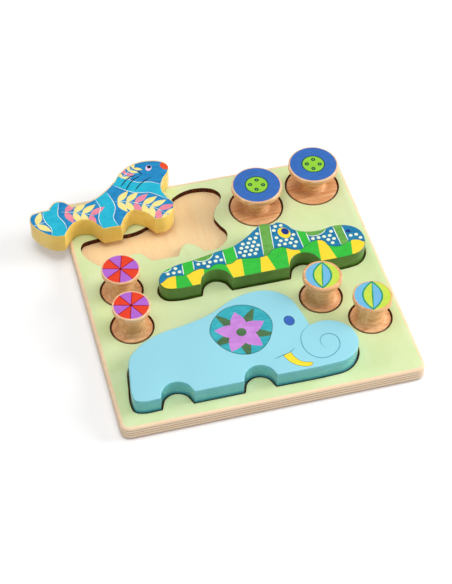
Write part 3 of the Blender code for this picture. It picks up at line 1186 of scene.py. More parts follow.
def scatter_recipe() -> Recipe:
    """A motif on each of the carrier's corners.

    Returns:
        The recipe, with inputs Motif and Finish.
    """
    recipe = Recipe("scattered_motifs", {"Motif": "Object"})
    recipe.close_with_copies(recipe.given["Geometry"], 0.0)
    return recipe


@dataclass
class Workshop:
    """The recipes that the pieces share."""

    turning: Recipe = field(default_factory=turning_recipe)
    stroke: Recipe = field(default_factory=stroke_recipe)
    ring: Recipe = field(default_factory=ring_recipe)
    scatter: Recipe = field(default_factory=scatter_recipe)

    def drawn(self, name: str, points: Sequence[Vector], face: float, width: float, ink: Finish,
              closed: bool = False) -> Piece:
        """A pen stroke on a face.

        Args:
            name: of the piece.
            points: the stroke's path, in metres.
            face: its level.
            width: of the pen.
            ink: its finish.
            closed: whether the path joins itself, and so keeps its width.

        Returns:
            The stroke.
        """
        curve = bpy.data.curves.new(name, "CURVE")
        curve.dimensions = "3D"
        spline = curve.splines.new("POLY")
        spline.points.add(len(points) - 1)
        for place, point in zip(spline.points, points):
            place.co = (point.x, point.y, face + LINE_RISE - LINE_THICKNESS / 2, 1)
        spline.use_cyclic_u = closed
        return self.stroke.made(name, link(name + "_path", curve), ink, {
            "Width": width, "Thickness": LINE_THICKNESS, "Point": 1.0 if closed else PEN_POINT})

    def stamped(self, recipe: Recipe, name: str, places: Sequence[Sequence[float]], shape: Sequence[Vector],
                ink: Finish, values: dict[str, object]) -> Piece:
        """Copies of a small printed shape.

        Args:
            recipe: the one that places them.
            name: of the layer.
            places: the corners that the recipe starts from.
            shape: of one copy, about the origin.
            ink: its finish.
            values: a value for each other input of the recipe.

        Returns:
            The layer.
        """
        stamp = PrintSheet(name + "_motif", 0.0, thickness=LINE_THICKNESS)
        stamp.paint(shape, ink)
        motif = stamp.finished()
        carrier = bpy.data.meshes.new(name + "_carrier")
        carrier.from_pydata(places, [], [])
        layer = recipe.made(name, link(name + "_carrier", carrier), ink, {"Motif": motif, **values})
        bpy.data.objects.remove(motif)
        return layer


def ridden(piece: Piece, body: str, slot: str, *nodes: str) -> None:
    """Hang a finished piece on its body.

    Args:
        piece: at the origin, its place in its mesh.
        body: the body that it moves with.
        slot: the record's material slot; not used.
        nodes: the CAD nodes that it stands for.
    """
    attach(piece, body)
    if nodes:
        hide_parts(*nodes)
    LOG.info("%s rides on %s: %d faces", piece.name, body, len(piece.data.polygons))


# The puzzle's parts

@dataclass
class Pocket:
    """A pocket cut through the printed board, with a burnt bead in its wall that is painted shade of the gap
    round a piece, and a dark line along its edge, laser scorch widened into painted shade.
    """

    outline: list[Vector]
    shade_bead: float = 0.8 * MM
    scorch_and_shade: float = 0.38 * MM

    # Share of the shade bead's width and depth under the top in millimetres, from the foot of the bead up
    shade_bead_profile: tuple[Place, ...] = ((0.0, 1.9), (0.6, 1.5), (1.0, 1.0), (0.9, 0.7), (0.0, 0.1))

    def cut(self, board: RingSolid) -> tuple[Ring, Ring]:
        """Build its wall.

        Args:
            board: the solid that it is cut through.

        Returns:
            The lowest and the highest ring of the wall.
        """
        # Painted shade: the bead narrows the gap in the burnt colour, so the gap round a piece looks dark
        wall = [board.ring(grown(self.outline, -self.shade_bead * share), FRAME_TOP - depth * MM)
                for share, depth in self.shade_bead_profile]
        # A dark line on the print round the pocket: partly laser scorch, partly painted shade of the gap
        wall.append(board.ring(grown(self.outline, self.scorch_and_shade), FRAME_TOP))
        foot = board.ring(self.outline, FRAME_LOW)
        board.wall([foot, *wall], BURNT_AND_SHADE)
        return foot, wall[-1]


@dataclass
class Tray:
    """The base board and the printed board glued on it, with every pocket cut through."""

    half: float = TRAY_HALF
    corner: float = TRAY_CORNER_RADIUS
    edge: float = TRAY_EDGE_ROUND
    glue_line: float = 0.02 * MM
    round_steps: int = 5
    recess_steps: int = 96

    def outline(self, inset: float) -> list[Vector]:
        """The tray's outline, drawn in by an inset."""
        return rounded_square(self.half - inset, self.corner - inset)

    def pockets(self, spools: Sequence["Spool"]) -> list[Pocket]:
        """The pockets.

        Args:
            spools: those that stand in the tray.

        Returns:
            Three animal pockets and one round recess to a spool; the seal's pocket, which holds no piece, has
            no painted shade: no bead and only a thin scorched line.
        """
        seal = narrowed(SEAL_KNOTS, SEAL_ARCHES, TONGUE_SHARE)
        animals = (
            (ELEPHANT_KNOTS, ELEPHANT_PLACE), (CROCODILE_KNOTS, CROCODILE_PLACE), (seal, SEAL_POCKET_PLACE))
        pockets = [Pocket(cleared(smooth_loop(knots, place), POCKET_CLEARANCE)) for knots, place in animals]
        # The empty seal pocket gets no painted shade: no bead, only a thin scorched line
        pockets[-1] = replace(pockets[-1], shade_bead=0.0, scorch_and_shade=0.1 * MM)
        for spool in spools:
            radius = (spool.flange + SPOOL_CLEARANCE) / MM
            pockets.append(Pocket(disc(spool.place, radius, self.recess_steps)))
        return pockets

    def base(self) -> Piece:
        """The plain board that is every pocket's floor.

        Returns:
            The board.
        """
        solid = RingSolid("tray_base_board", [BIRCH_FLOOR, PLY_EDGE])
        foot = reversed(eased(self.edge, self.round_steps))
        rings = [solid.ring(self.outline(inset), depth) for inset, depth in foot]
        rings.append(solid.ring(self.outline(0), FRAME_LOW - self.glue_line))
        solid.wall(rings, PLY_EDGE)
        solid.sheet([rings[0]], BIRCH_FLOOR)
        solid.sheet([rings[-1]], BIRCH_FLOOR)
        return solid.finished()

    def board(self, spools: Sequence["Spool"]) -> Piece:
        """The printed board with its pockets; the print wraps onto the rounding of its edge.

        Args:
            spools: those that stand in the tray.

        Returns:
            The board.
        """
        solid = RingSolid("tray_printed_board", [LIME_PRINT, PLY_EDGE, BURNT_AND_SHADE])
        outer = [solid.ring(self.outline(0), FRAME_LOW)]
        outer += [solid.ring(self.outline(inset), FRAME_TOP - depth)
                  for inset, depth in eased(self.edge, self.round_steps)]
        solid.wall(outer[:3], PLY_EDGE)
        solid.wall(outer[2:], LIME_PRINT)
        bottoms, tops = zip(*(pocket.cut(solid) for pocket in self.pockets(spools)))
        solid.sheet([outer[-1], *tops], LIME_PRINT)
        solid.sheet([outer[0], *bottoms], PLY_EDGE)
        return solid.finished()

    def build(self, spools: Sequence["Spool"]) -> None:
        """Make both boards and hang them on the tray."""
        ridden(self.base(), "tray", "birch_ply", "tray_base")
        ridden(self.board(spools), "tray", "lime_paint", "tray_frame")


@dataclass
class Animal:
    """A chunky sawn animal with sanded edges and a print on its upper side."""

    name: str
    slot: str
    knots: Sequence[Knot]
    place: Place
    top_finish: Finish
    side_finish: Finish
    seat: float = POCKET_SEAT
    wrapped: bool = False
    thickness: float = ANIMAL_THICKNESS
    edge: float = ANIMAL_EDGE_ROUND
    sanding: float = 0.01 * MM
    round_steps: int = 5

    @property
    def top(self) -> float:
        """Level of its upper side."""
        return self.seat + self.thickness

    @property
    def loop(self) -> list[Vector]:
        """Its outline on the tray."""
        return grown(smooth_loop(self.knots, self.place), -self.sanding)

    def body(self) -> Piece:
        """The sawn block.

        Returns:
            The block; a wrapped one's upper edge is coloured like its upper side.
        """
        solid = RingSolid(self.name + "_block", [self.top_finish, self.side_finish])
        loop = self.loop
        quarter = eased(self.edge, self.round_steps)
        rings = [solid.ring(grown(loop, -inset), self.seat + depth) for inset, depth in reversed(quarter)]
        rings += [solid.ring(grown(loop, -inset), self.top - depth) for inset, depth in quarter]
        edge = len(rings) - (3 if self.wrapped else 1)
        solid.wall(rings[:edge + 1], self.side_finish)
        solid.wall(rings[edge:], self.top_finish)
        solid.sheet([rings[0]], self.side_finish)
        solid.sheet([rings[-1]], self.top_finish)
        return solid.finished()

    def prints(self, shop: Workshop) -> list[Piece]:
        """The printed layers, drawn by each animal."""
        raise NotImplementedError

    def build(self, shop: Workshop) -> None:
        """Make the block and its prints and hang them on the animal's body.

        Args:
            shop: the shared recipes.
        """
        ridden(self.body(), self.name, self.slot, self.name)
        for layer in self.prints(shop):
            ridden(layer, self.name, self.slot)


@dataclass
class Elephant(Animal):
    """Plain sky blue, with a decorated ear, an eye, a tusk and a curled trunk.

    Places and the sizes of its eye and its flower are in millimetres.
    """

    name: str = "elephant"
    slot: str = "sky_blue_paint"
    knots: Sequence[Knot] = field(default_factory=lambda: ELEPHANT_KNOTS)
    place: Place = ELEPHANT_PLACE
    top_finish: Finish = SKY_PAINT
    side_finish: Finish = SKY_SIDE
    wrapped: bool = True
    eye: Place = (26.9, -57.9)
    eye_size: Place = (3.8, 4.7)
    eye_edge: float = 0.4
    eye_turn: float = 0.15
    tusk_edge: float = 0.4 * MM
    ear_pen: float = 0.45 * MM
    face_pen: float = 0.6 * MM
    flower: Place = (-12.0, -60.0)
    flower_heart: float = 4.0
    petals: int = 5

    # Length and width of the flower's leaves and of its petals, the first one's turn in degrees, and the ink
    whorls: tuple[tuple[float, float, float, Finish], ...] = (
        (27.0, 8.0, 54.0, EAR_OLIVE), (21.0, 12.5, 18.0, EAR_VIOLET))

    def ear(self) -> list[Vector]:
        """The ear's outline.

        Returns:
            Its points.
        """
        return smooth_loop([
            (13.6, -53.8), (10.0, -43.6), (2.6, -36.4), (-7.3, -32.9), (-18.6, -34.2), (-28.6, -41.2),
            (-34.4, -50.0), (-35.5, -57.2), (-30.4, -70.5), (-22.6, -78.6), (-12.4, -82.4), (-3.0, -80.9),
            (4.2, -75.6), (10.8, -65.4)])

    def tusk(self) -> list[Vector]:
        """The tusk's outline.

        Returns:
            Its points.
        """
        return smooth_loop([
            (13.2, -90.4, CORNER), (15.8, -96.2), (19.6, -100.6), (24.7, -103.6), (30.5, -104.5),
            (32.4, -102.6), (29.9, -101.3), (26.0, -100.0), (22.2, -96.2), (20.3, -92.3),
            (19.0, -88.5, CORNER)])

    def trunk(self) -> list[Vector]:
        """The line that curls up the trunk.

        Returns:
            Its points, from the forehead on.
        """
        return smooth_path([
            (41.4, -65.4), (35.0, -69.9), (31.2, -75.6), (29.9, -82.1), (30.5, -88.5), (33.7, -94.9),
            (38.8, -99.0), (44.6, -100.0), (51.0, -98.1), (56.2, -93.6), (58.5, -88.5), (58.1, -82.7),
            (54.9, -78.8), (50.4, -77.8), (46.5, -79.2), (44.4, -83.3), (44.6, -87.8), (46.8, -91.0)])

    def ear_print(self) -> Piece:
        """A plain flower of pointed leaves and petals on the ear.

        Returns:
            The printed sheet.
        """
        sheet = PrintSheet("elephant_ear_print", self.top + AREA_RISE, bounded=True)
        sheet.paint(self.ear(), EAR_TEAL)
        for length, width, first, ink in self.whorls:
            for petal in range(self.petals):
                turn = math.radians(360 / self.petals * petal + first)
                sheet.paint(leaf(self.flower, length, width, turn), ink)
        sheet.paint(disc(self.flower, self.flower_heart), EAR_OLIVE)
        return sheet.finished()

    def face_print(self) -> Piece:
        """Eye and tusk, each with an edge in a darker ink.

        Returns:
            The printed sheet.
        """
        face = PrintSheet("elephant_face_print", self.top + AREA_RISE)
        wide, tall = self.eye_size
        face.paint(ellipse(self.eye, wide + self.eye_edge, tall + self.eye_edge, self.eye_turn), LINE_EAR)
        face.paint(ellipse(self.eye, wide, tall, self.eye_turn), EYE_BLUE)
        face.paint(grown(self.tusk(), self.tusk_edge), LINE_OLIVE)
        face.paint(self.tusk(), TUSK_YELLOW)
        return face.finished()

    def prints(self, shop: Workshop) -> list[Piece]:
        """Ear, eye and tusk, and the pen lines of mouth and trunk.

        Args:
            shop: the shared recipes.

        Returns:
            The sheets and the strokes.
        """
        mouth = smooth_path([(5.6, -91.6), (7.4, -91.3), (13.2, -89.7), (19.0, -88.2), (23.5, -84.9)])
        return [
            self.ear_print(), self.face_print(),
            shop.drawn("elephant_ear_line", self.ear(), self.top, self.ear_pen, LINE_EAR, True),
            shop.drawn("elephant_mouth_line", mouth, self.top, self.face_pen, LINE_TEAL),
            shop.drawn("elephant_trunk_line", self.trunk(), self.top, self.face_pen, LINE_TEAL),
        ]


@dataclass
class Crocodile(Animal):
    """River blue with cream spots, scales on its back and a striped belly.

    Its own numbers are in millimetres.
    """

    name: str = "crocodile"
    slot: str = "leaf_green_paint"
    knots: Sequence[Knot] = field(default_factory=lambda: CROCODILE_KNOTS)
    place: Place = CROCODILE_PLACE
    top_finish: Finish = RIVER_BLUE
    side_finish: Finish = GREEN_SIDE
    bare_rim: float = 0.45
    eye: Place = (48.8, 32.3)
    eye_size: Place = (4.8, 6.2)
    eye_turn: float = 0.3
    pupil_shift: Place = (1.2, 1.5)
    pupil_size: Place = (2.9, 3.7)
    nostril: Place = (99.6, 21.6)
    nostril_size: Place = (2.1, 1.7)
    tail: float = -66.0
    snout: float = 116.0
    below: float = -8.0
    scale_pen: float = 0.8
    belly_pen: float = 0.4

    # Middle and radius of each hill along the back
    hills: tuple[tuple[Place, float], ...] = (
        ((-22.0, 29.0), 10.5), ((21.0, 51.0), 11.0), ((73.0, 35.0), 12.0), ((-55.0, 23.0), 8.5))

    # x of each band across the back at its foot and at its head, its width and its finish
    bands: tuple[tuple[float, float, float, Finish], ...] = (
        (-42.0, -35.0, 9.0, REED_GREEN), (-6.0, -3.0, 10.0, REED_GREEN), (24.0, 33.0, 9.0, MOSS_GREEN),
        (60.0, 58.0, 7.0, REED_GREEN), (90.0, 88.0, 7.0, MOSS_GREEN))
    band_steps: int = 40
    band_foot: float = -2.0
    band_rise: float = 60.0

    # x of the left and right end of each yellow stripe on the belly, and how far it leans
    stripes: tuple[Place, ...] = (
        (-66.0, -49.0), (-37.0, -26.0), (-4.0, 6.5), (20.0, 31.0), (43.5, 57.5), (70.0, 81.5), (96.0, 116.0))
    stripe_lean: float = 2.2

    # Share of that lean at a stripe's foot
    foot_share: float = 0.6

    spot_radius: float = 1.5
    spot_start: Place = (-62.0, 4.0)
    spot_pitch: Place = (4.7, 4.1)
    spot_rows: int = 12
    spot_columns: int = 38

    # Room between a spot's middle and the block's edge, the belly, a band and a round mark
    edge_room: float = 2.6
    belly_room: float = 2.2
    band_room: float = 2.1
    mark_room: float = 2.0
    eye_reach: float = 5.4
    nostril_reach: float = 2.4

    def ground(self) -> list[Vector]:
        """The printed area's outline."""
        return grown(self.loop, -self.bare_rim * MM)

    def saddles(self) -> list[tuple[list[Vector], Finish]]:
        """The bands that lean across the back.

        Returns:
            The outline of each, up its right side and down its left one, and its finish.
        """
        saddles = []
        for foot, head, wide, ink in self.bands:
            shares = [step / self.band_steps for step in range(self.band_steps + 1)]
            left = [Vector((foot + (head - foot) * share, self.band_foot + self.band_rise * share)) * MM
                    for share in shares]
            right = [point + Vector((wide * MM, 0.0)) for point in left]
            saddles.append((right + list(reversed(left)), ink))
        return saddles

    def belly_edge(self) -> list[Vector]:
        """The wavy line between the back and the belly.

        Returns:
            Its points, from tail to snout.
        """
        return smooth_path([
            (self.tail, 1.0), (-58.0, 5.0), (-53.8, 8.1), (-46.3, 8.8), (-38.8, 7.3), (-32.5, 10.0),
            (-26.3, 11.3), (-20.0, 9.4), (-15.0, 12.5), (-10.0, 12.5), (-5.0, 10.6), (0.0, 11.0), (5.0, 13.8),
            (17.5, 11.9), (25.0, 11.5), (30.6, 13.1), (35.0, 16.9), (42.5, 17.8), (46.3, 15.6), (51.3, 12.5),
            (57.5, 11.9), (62.5, 15.0), (68.8, 17.8), (73.8, 17.8), (77.5, 15.6), (80.0, 10.0), (87.5, 7.5),
            (95.0, 9.4), (100.0, 11.3), (105.0, 10.0), (108.8, 6.9), (self.snout, 4.0)])

    def belly(self) -> list[Vector]:
        """The outline of everything below the wavy line."""
        feet = [Vector((x, self.below)) * MM for x in (self.tail, self.snout)]
        return feet + list(reversed(self.belly_edge()))

    def stripe(self, left: float, right: float) -> list[Vector]:
        """One stripe of the belly.

        Args:
            left, right: x of its ends.

        Returns:
            Its outline; stripes lean one way under the tail and the other way under the head.
        """
        lean = -self.stripe_lean if left > 0 else self.stripe_lean
        foot = lean * self.foot_share
        feet = [Vector((x, self.below)) * MM for x in (left + foot, right - foot)]
        crest = [point for point in self.belly_edge() if left - lean < point.x / MM < right + lean]
        return feet + list(reversed(crest))

    def back_print(self) -> Piece:
        """Hills and bands over the back, stripes on the belly, an eye and a nostril.

        Returns:
            The printed sheet.
        """
        sheet = PrintSheet("crocodile_print", self.top + AREA_RISE, bounded=True)
        sheet.paint(self.ground(), RIVER_BLUE)
        for index, (centre, radius) in enumerate(self.hills):
            sheet.paint(disc(centre, radius), REED_GREEN if index % 2 else MOSS_GREEN)
        for outline, ink in self.saddles():
            sheet.paint(outline, ink)
        sheet.paint(self.belly(), REED_GREEN)
        for left, right in self.stripes:
            sheet.paint(self.stripe(left, right), BELLY_YELLOW)
        pupil = Vector(self.eye) + Vector(self.pupil_shift)
        sheet.paint(ellipse(self.eye, *self.eye_size, self.eye_turn), BELLY_YELLOW)
        sheet.paint(ellipse(pupil, *self.pupil_size, self.eye_turn), NIGHT_BLUE)
        sheet.paint(ellipse(self.nostril, *self.nostril_size), NIGHT_BLUE)
        return sheet.finished()

    def spots(self) -> list[Vector]:
        """Where the cream spots go.

        Returns:
            Staggered rows over the back, clear of every other mark and of the edges.
        """
        back = grown(self.loop, -self.edge_room * MM)
        covered = [grown(self.belly(), self.belly_room * MM)]
        covered += [grown(outline, self.band_room * MM) for outline, _ in self.saddles()]
        marks = (*self.hills, (self.eye, self.eye_reach), (self.nostril, self.nostril_reach))
        covered += [disc(centre, radius + self.mark_room) for centre, radius in marks]
        wide, deep = self.spot_pitch
        spots = []
        for row in range(self.spot_rows):
            for column in range(self.spot_columns):
                point = (Vector(self.spot_start) + Vector((wide * (column + row % 2 / 2), deep * row))) * MM
                if holds(back, point) and not any(holds(outline, point) for outline in covered):
                    spots.append(point)
        return spots

    def scale_lines(self, shop: Workshop) -> list[Piece]:
        """Cream lines round the hills and along both sides of each band.

        Args:
            shop: the shared recipes.

        Returns:
            The strokes.
        """
        ground, belly, saddles = self.ground(), self.belly(), self.saddles()
        paths = {}
        for index, (centre, radius) in enumerate(self.hills):
            paths[f"hill_line_{index}"] = [
                point for point in ellipse(centre, radius, radius, math.pi / 2)
                if holds(ground, point) and not any(holds(outline, point) for outline, _ in saddles)]
        for index, (outline, _) in enumerate(saddles):
            half = self.band_steps + 1
            for side, path in (("right", outline[:half]), ("left", outline[half:])):
                paths[f"saddle_{index}_{side}"] = [
                    point for point in path if holds(ground, point) and not holds(belly, point)]
        return [shop.drawn("crocodile_" + part, path, self.top, self.scale_pen * MM, LINE_CREAM)
                for part, path in paths.items()]

    def prints(self, shop: Workshop) -> list[Piece]:
        """Back, belly stripes, eye and spots.

        Args:
            shop: the shared recipes.

        Returns:
            The sheet, the spots and the strokes.
        """
        places = [(point.x, point.y, self.top + LINE_RISE) for point in self.spots()]
        spot = disc((0, 0), self.spot_radius, 18)
        edge = [point for point in self.belly_edge() if holds(self.ground(), point)]
        return [
            self.back_print(),
            shop.stamped(shop.scatter, "crocodile_spots", places, spot, CREAM, {}),
            *self.scale_lines(shop),
            shop.drawn("crocodile_belly_line", edge, self.top, self.belly_pen * MM, LINE_FOREST),
        ]


@dataclass
class Seal(Animal):
    """Ocean blue with lagoon bands and rows of leaves, an eye, a red nose and whiskers."""

    name: str = "seal"
    slot: str = "sea_blue_paint"
    knots: Sequence[Knot] = field(default_factory=lambda: SEAL_KNOTS)
    place: Place = SEAL_PLACE
    seat: float = SEAL_SEAT
    top_finish: Finish = BIRCH_TOP
    side_finish: Finish = OCHRE_SIDE
    front_rim: float = 0.4 * MM
    back_rim: float = 1.3 * MM
    band_half: float = 6.0 * MM
    leaf_lean: float = math.radians(56)
    leaf_width: float = 0.39
    band_pen: float = 0.55 * MM
    whisker_pen: float = 1.0 * MM
    path_steps: int = 12

    # Middle, half width, half height, turn and ink of each round mark on the face
    face: tuple[tuple[Place, float, float, float, Finish], ...] = (
        ((-41.6, 126.8), 2.5, 3.4, -0.4, EYE_PINK), ((-40.9, 127.9), 1.7, 1.9, 0.0, LINE_DARK),
        ((-28.4, 125.9), 3.1, 4.6, 0.35, NOSE_RED))

    # The middle line of each band
    bands: tuple[tuple[Place, ...], ...] = (
        ((-131.0, 62.0), (-127.0, 78.0), (-131.0, 92.0), (-126.0, 112.0)),
        ((-84.0, 62.0), (-88.0, 78.0), (-84.0, 92.0), (-89.0, 112.0)),
        ((-30.0, 92.0), (-44.0, 104.0), (-58.0, 108.0), (-76.0, 124.0)))

    # Each stem's line, the length of its leaves and the space between them
    stems: tuple[tuple[tuple[Place, ...], float, float], ...] = (
        (((-147.0, 85.0), (-142.0, 86.0), (-137.0, 87.0)), 14.5, 7.0),
        (((-122.0, 95.0), (-112.0, 92.0), (-103.0, 88.0), (-96.0, 84.0)), 14.5, 7.0),
        (((-78.0, 96.0), (-67.0, 93.0), (-55.0, 87.0), (-46.0, 80.0), (-38.0, 71.0)), 14.5, 7.0),
        (((-67.0, 119.0), (-61.0, 125.0), (-53.0, 130.0)), 8.0, 4.8))

    # Each whisker from its root, and the line of the mouth
    whiskers: tuple[tuple[Place, ...], ...] = (
        ((-52.8, 121.6), (-60.7, 119.1), (-68.8, 111.2)), ((-49.2, 120.2), (-58.0, 115.5), (-66.3, 105.2)),
        ((-42.4, 116.0), (-51.4, 110.8), (-58.6, 103.7)), ((-51.0, 126.2), (-49.9, 123.3), (-48.4, 120.5)))

    def ground(self) -> list[Vector]:
        """The print's outline.

        Returns:
            Its points, close to the front edges and further from the back ones.
        """
        loop = self.loop
        insets = []
        for index in range(len(loop)):
            way = (loop[(index + 1) % len(loop)] - loop[index - 1]).normalized()
            insets.append(-self.front_rim - self.back_rim * max(0.0, -way.x))
        return grown(loop, insets)

    def prints(self, shop: Workshop) -> list[Piece]:
        """Bands, leaves and face.

        Args:
            shop: the shared recipes.

        Returns:
            The printed sheet, and the pen lines on it.
        """
        ground = self.ground()
        sheet = PrintSheet("seal_print", self.top + AREA_RISE, bounded=True)
        sheet.paint(ground, OCEAN_BLUE)
        lines = {}
        for index, band in enumerate(self.bands):
            middle = smooth_path(band, self.path_steps)
            left, right = beside(middle, self.band_half), beside(middle, -self.band_half)
            sheet.paint(right + list(reversed(left)), LAGOON)
            for side, path in (("left", left), ("right", right)):
                lines[f"band_{index}_{side}"] = [point for point in path if holds(ground, point)]
        for index, (stem, length, spacing) in enumerate(self.stems):
            path = smooth_path(stem, self.path_steps)
            for number, (root, turn) in enumerate(along(path, spacing * MM)):
                ink = ROSE if (number + index) % 3 == 1 else STRAW
                for side in (1, -1):
                    lean = turn + side * self.leaf_lean
                    sheet.paint(leaf(root / MM, length, self.leaf_width * length, lean), ink)
            lines[f"stem_{index}"] = path
        for *shape, ink in self.face:
            sheet.paint(ellipse(*shape), ink)
        layers = [sheet.finished()]
        for part, path in lines.items():
            layers.append(shop.drawn("seal_" + part, path, self.top, self.band_pen, LINE_CREAM))
        for index, whisker in enumerate(self.whiskers):
            path = smooth_path(whisker, self.path_steps)
            layers.append(shop.drawn(f"seal_whisker_{index}", path, self.top, self.whisker_pen, LINE_DARK))
        return layers


class Motif(Enum):
    """What is printed on a spool's end."""

    BUTTON = "button"
    WHEEL = "wheel"
    BALL = "ball"


@dataclass
class Spool:
    """A turned beech spool with a print on its upper end."""

    name: str
    motif: Motif
    place: Place
    flange: float
    face: float
    neck: float
    cove: float
    grain_turn: float
    print_radius: float
    crown: float
    height: float = 30.5 * MM
    rim: float = 1.7 * MM
    shoulder: float = 2.4 * MM
    crown_shoulder: float = 1.3 * MM
    least_chamfer: float = 0.6 * MM
    lip: float = 0.5 * MM
    print_room: float = 0.1 * MM
    # Depth below the upper face of the painted highlight band
    highlight_depth: float = 1.3 * MM
    figure_level: float = 20.0 * MM
    sides: int = 96
    cove_steps: int = 36
    lip_steps: int = 4
    shoulder_steps: int = 10
    hole_ring: float = 5.3 * MM
    ball_pen: float = 1.3 * MM

    # A button's edge line and middle, its holes' rims and cores, and half a wheel's spoke, in millimetres
    button_line: float = 9.8
    button_middle: float = 8.85
    hole_rim: float = 1.8
    hole_core: float = 0.55
    spoke_half: float = 0.36
    sector_steps: int = 15

    # Half the width of a ball's lens and the reach of its lime half, which the disc cuts off, in radii
    lens_half: float = 0.53
    overprint: float = 1.2
    lens_steps: int = 40

    @property
    def centre(self) -> Vector:
        """Its middle on the tray, in metres."""
        return Vector(self.place) * MM

    @property
    def top(self) -> float:
        """Level of its bare upper face; the print lies on it."""
        return POCKET_SEAT + self.height - self.print_room

    def half_profile(self, flange: float, shoulder: float) -> list[tuple[float, float]]:
        """One end of the spool.

        Args:
            flange: its largest radius.
            shoulder: height of the rounding between that and the end face.

        Returns:
            (radius, height above the middle), from the neck to the edge of the end face.
        """
        face = min(self.face, flange - self.least_chamfer)
        shoulder_low = self.height / 2 - shoulder
        rim_low = self.height / 2 - self.shoulder - self.rim
        reach, power = flange - self.lip, 2 / self.cove
        cove = [(reach - (reach - self.neck) * cosine ** power, sine ** power * (rim_low - self.lip))
                for cosine, sine in quarter_turn(self.cove_steps)[1:]]
        lip = [(reach + self.lip * sine, rim_low - self.lip * cosine)
               for cosine, sine in quarter_turn(self.lip_steps)[1:]]
        end = [(face + (flange - face) * cosine, shoulder_low + shoulder * sine)
               for cosine, sine in quarter_turn(self.shoulder_steps)]
        return cove + lip + end

    def wood(self, timber: Timber) -> Timber:
        """A timber, its figure centred on this spool."""
        return replace(timber, name=f"{timber.name}_{self.name}", centre=(*self.centre, self.figure_level),
                       turn=self.grain_turn)

    def body(self, shop: Workshop) -> Piece:
        """The turned wood, its upper flange a little smaller and crisper than the lower one.

        Args:
            shop: the shared recipes.

        Returns:
            The wood, with a paler band along its upper edge that is a painted highlight.
        """
        upper = self.half_profile(self.crown, self.crown_shoulder)
        lower = self.half_profile(self.flange, self.shoulder)
        middle = POCKET_SEAT + self.height / 2
        lower_side = [(radius, middle - height) for radius, height in reversed(lower)]
        upper_side = [(radius, min(middle + height, self.top)) for radius, height in upper]
        chain = [(0.0, POCKET_SEAT), *lower_side, (self.neck, middle), *upper_side, (0.0, self.top)]
        mesh = bpy.data.meshes.new(self.name + "_profile")
        mesh.from_pydata([(radius, 0, height) for radius, height in chain], [], [])
        turned = shop.turning.made(
            self.name + "_wood", link(self.name + "_profile", mesh), self.wood(BEECH),
            {"Sides": self.sides, "Centre": (*self.centre, 0.0)})
        # Painted highlight: the faces near the upper end get the paler beech
        if self.highlight_depth:
            turned.data.materials.append(self.wood(BEECH_HIGHLIGHT).material())
            for face in turned.data.polygons:
                if face.center.z > self.top - self.highlight_depth:
                    face.material_index = len(turned.data.materials) - 1
        return shaded(turned)

    def ring(self, shop: Workshop, part: str, shape: Sequence[Vector], ink: Finish, rise: float,
             count: int = 4, radius: float = 0.0, turn: float = PRINT_TURN) -> Piece:
        """Equal printed motifs about the spool's middle.

        Args:
            shop: the shared recipes.
            part: the layer's own name.
            shape: of one motif about the origin, pointing to +X.
            ink: its finish.
            rise: of their upper side above the wood.
            count: how many.
            radius: from the middle to each.
            turn: of the first, in radians.

        Returns:
            The layer.
        """
        return shop.stamped(shop.ring, f"{self.name}_{part}", [], shape, ink, {
            "Count": count, "Radius": radius, "Turn": turn, "Centre": (*self.centre, self.top + rise)})

    def button(self, shop: Workshop) -> list[Piece]:
        """A blue ring round a lime button with four holes.

        Args:
            shop: the shared recipes.

        Returns:
            The sheet and the holes.
        """
        sheet = PrintSheet(self.name + "_print", self.top + AREA_RISE)
        discs = (
            (self.print_radius, BUTTON_BLUE), (self.button_line, BUTTON_LINE),
            (self.button_middle, BUTTON_LIME))
        for radius, ink in discs:
            sheet.paint(disc(self.place, radius, self.sides), ink)
        hole, core = disc((0, 0), self.hole_rim, 24), disc((0, 0), self.hole_core, 16)
        return [
            sheet.finished(),
            self.ring(shop, "hole_rims", hole, BUTTON_LINE, LINE_RISE, radius=self.hole_ring),
            self.ring(shop, "hole_cores", core, BUTTON_LIME, CORE_RISE, radius=self.hole_ring),
        ]

    def wheel(self, shop: Workshop) -> list[Piece]:
        """A pinwheel of eight sectors with crimson lines.

        Args:
            shop: the shared recipes.

        Returns:
            The sectors of each colour and the lines.
        """
        radius, half, eighth = self.print_radius, self.spoke_half, math.pi / 4
        sector = [Vector((0.0, 0.0))]
        for step in range(self.sector_steps + 1):
            turn = eighth * step / self.sector_steps
            sector.append(Vector((math.cos(turn), math.sin(turn))) * radius * MM)
        spoke = [Vector((x, y)) * MM for x, y in ((0.0, -half), (radius, -half), (radius, half), (0.0, half))]
        return [
            self.ring(shop, "red_sectors", sector, WHEEL_RED, AREA_RISE, turn=PRINT_TURN + eighth),
            self.ring(shop, "violet_sectors", sector, WHEEL_VIOLET, AREA_RISE),
            self.ring(shop, "spokes", spoke, WHEEL_LINE, LINE_RISE, count=8),
        ]

    def ball(self, shop: Workshop) -> list[Piece]:
        """A beach ball: blue and lime, with a lens of the two swapped.

        Args:
            shop: the shared recipes.

        Returns:
            The printed sheet and the two lines on it.
        """
        radius = self.print_radius
        spin = Matrix.Rotation(PRINT_TURN, 2)

        def put(points: Iterable[Place]) -> list[Vector]:
            """Points about the middle, turned and put on this spool, in metres."""
            return [(Vector(self.place) + spin @ Vector(point)) * MM for point in points]

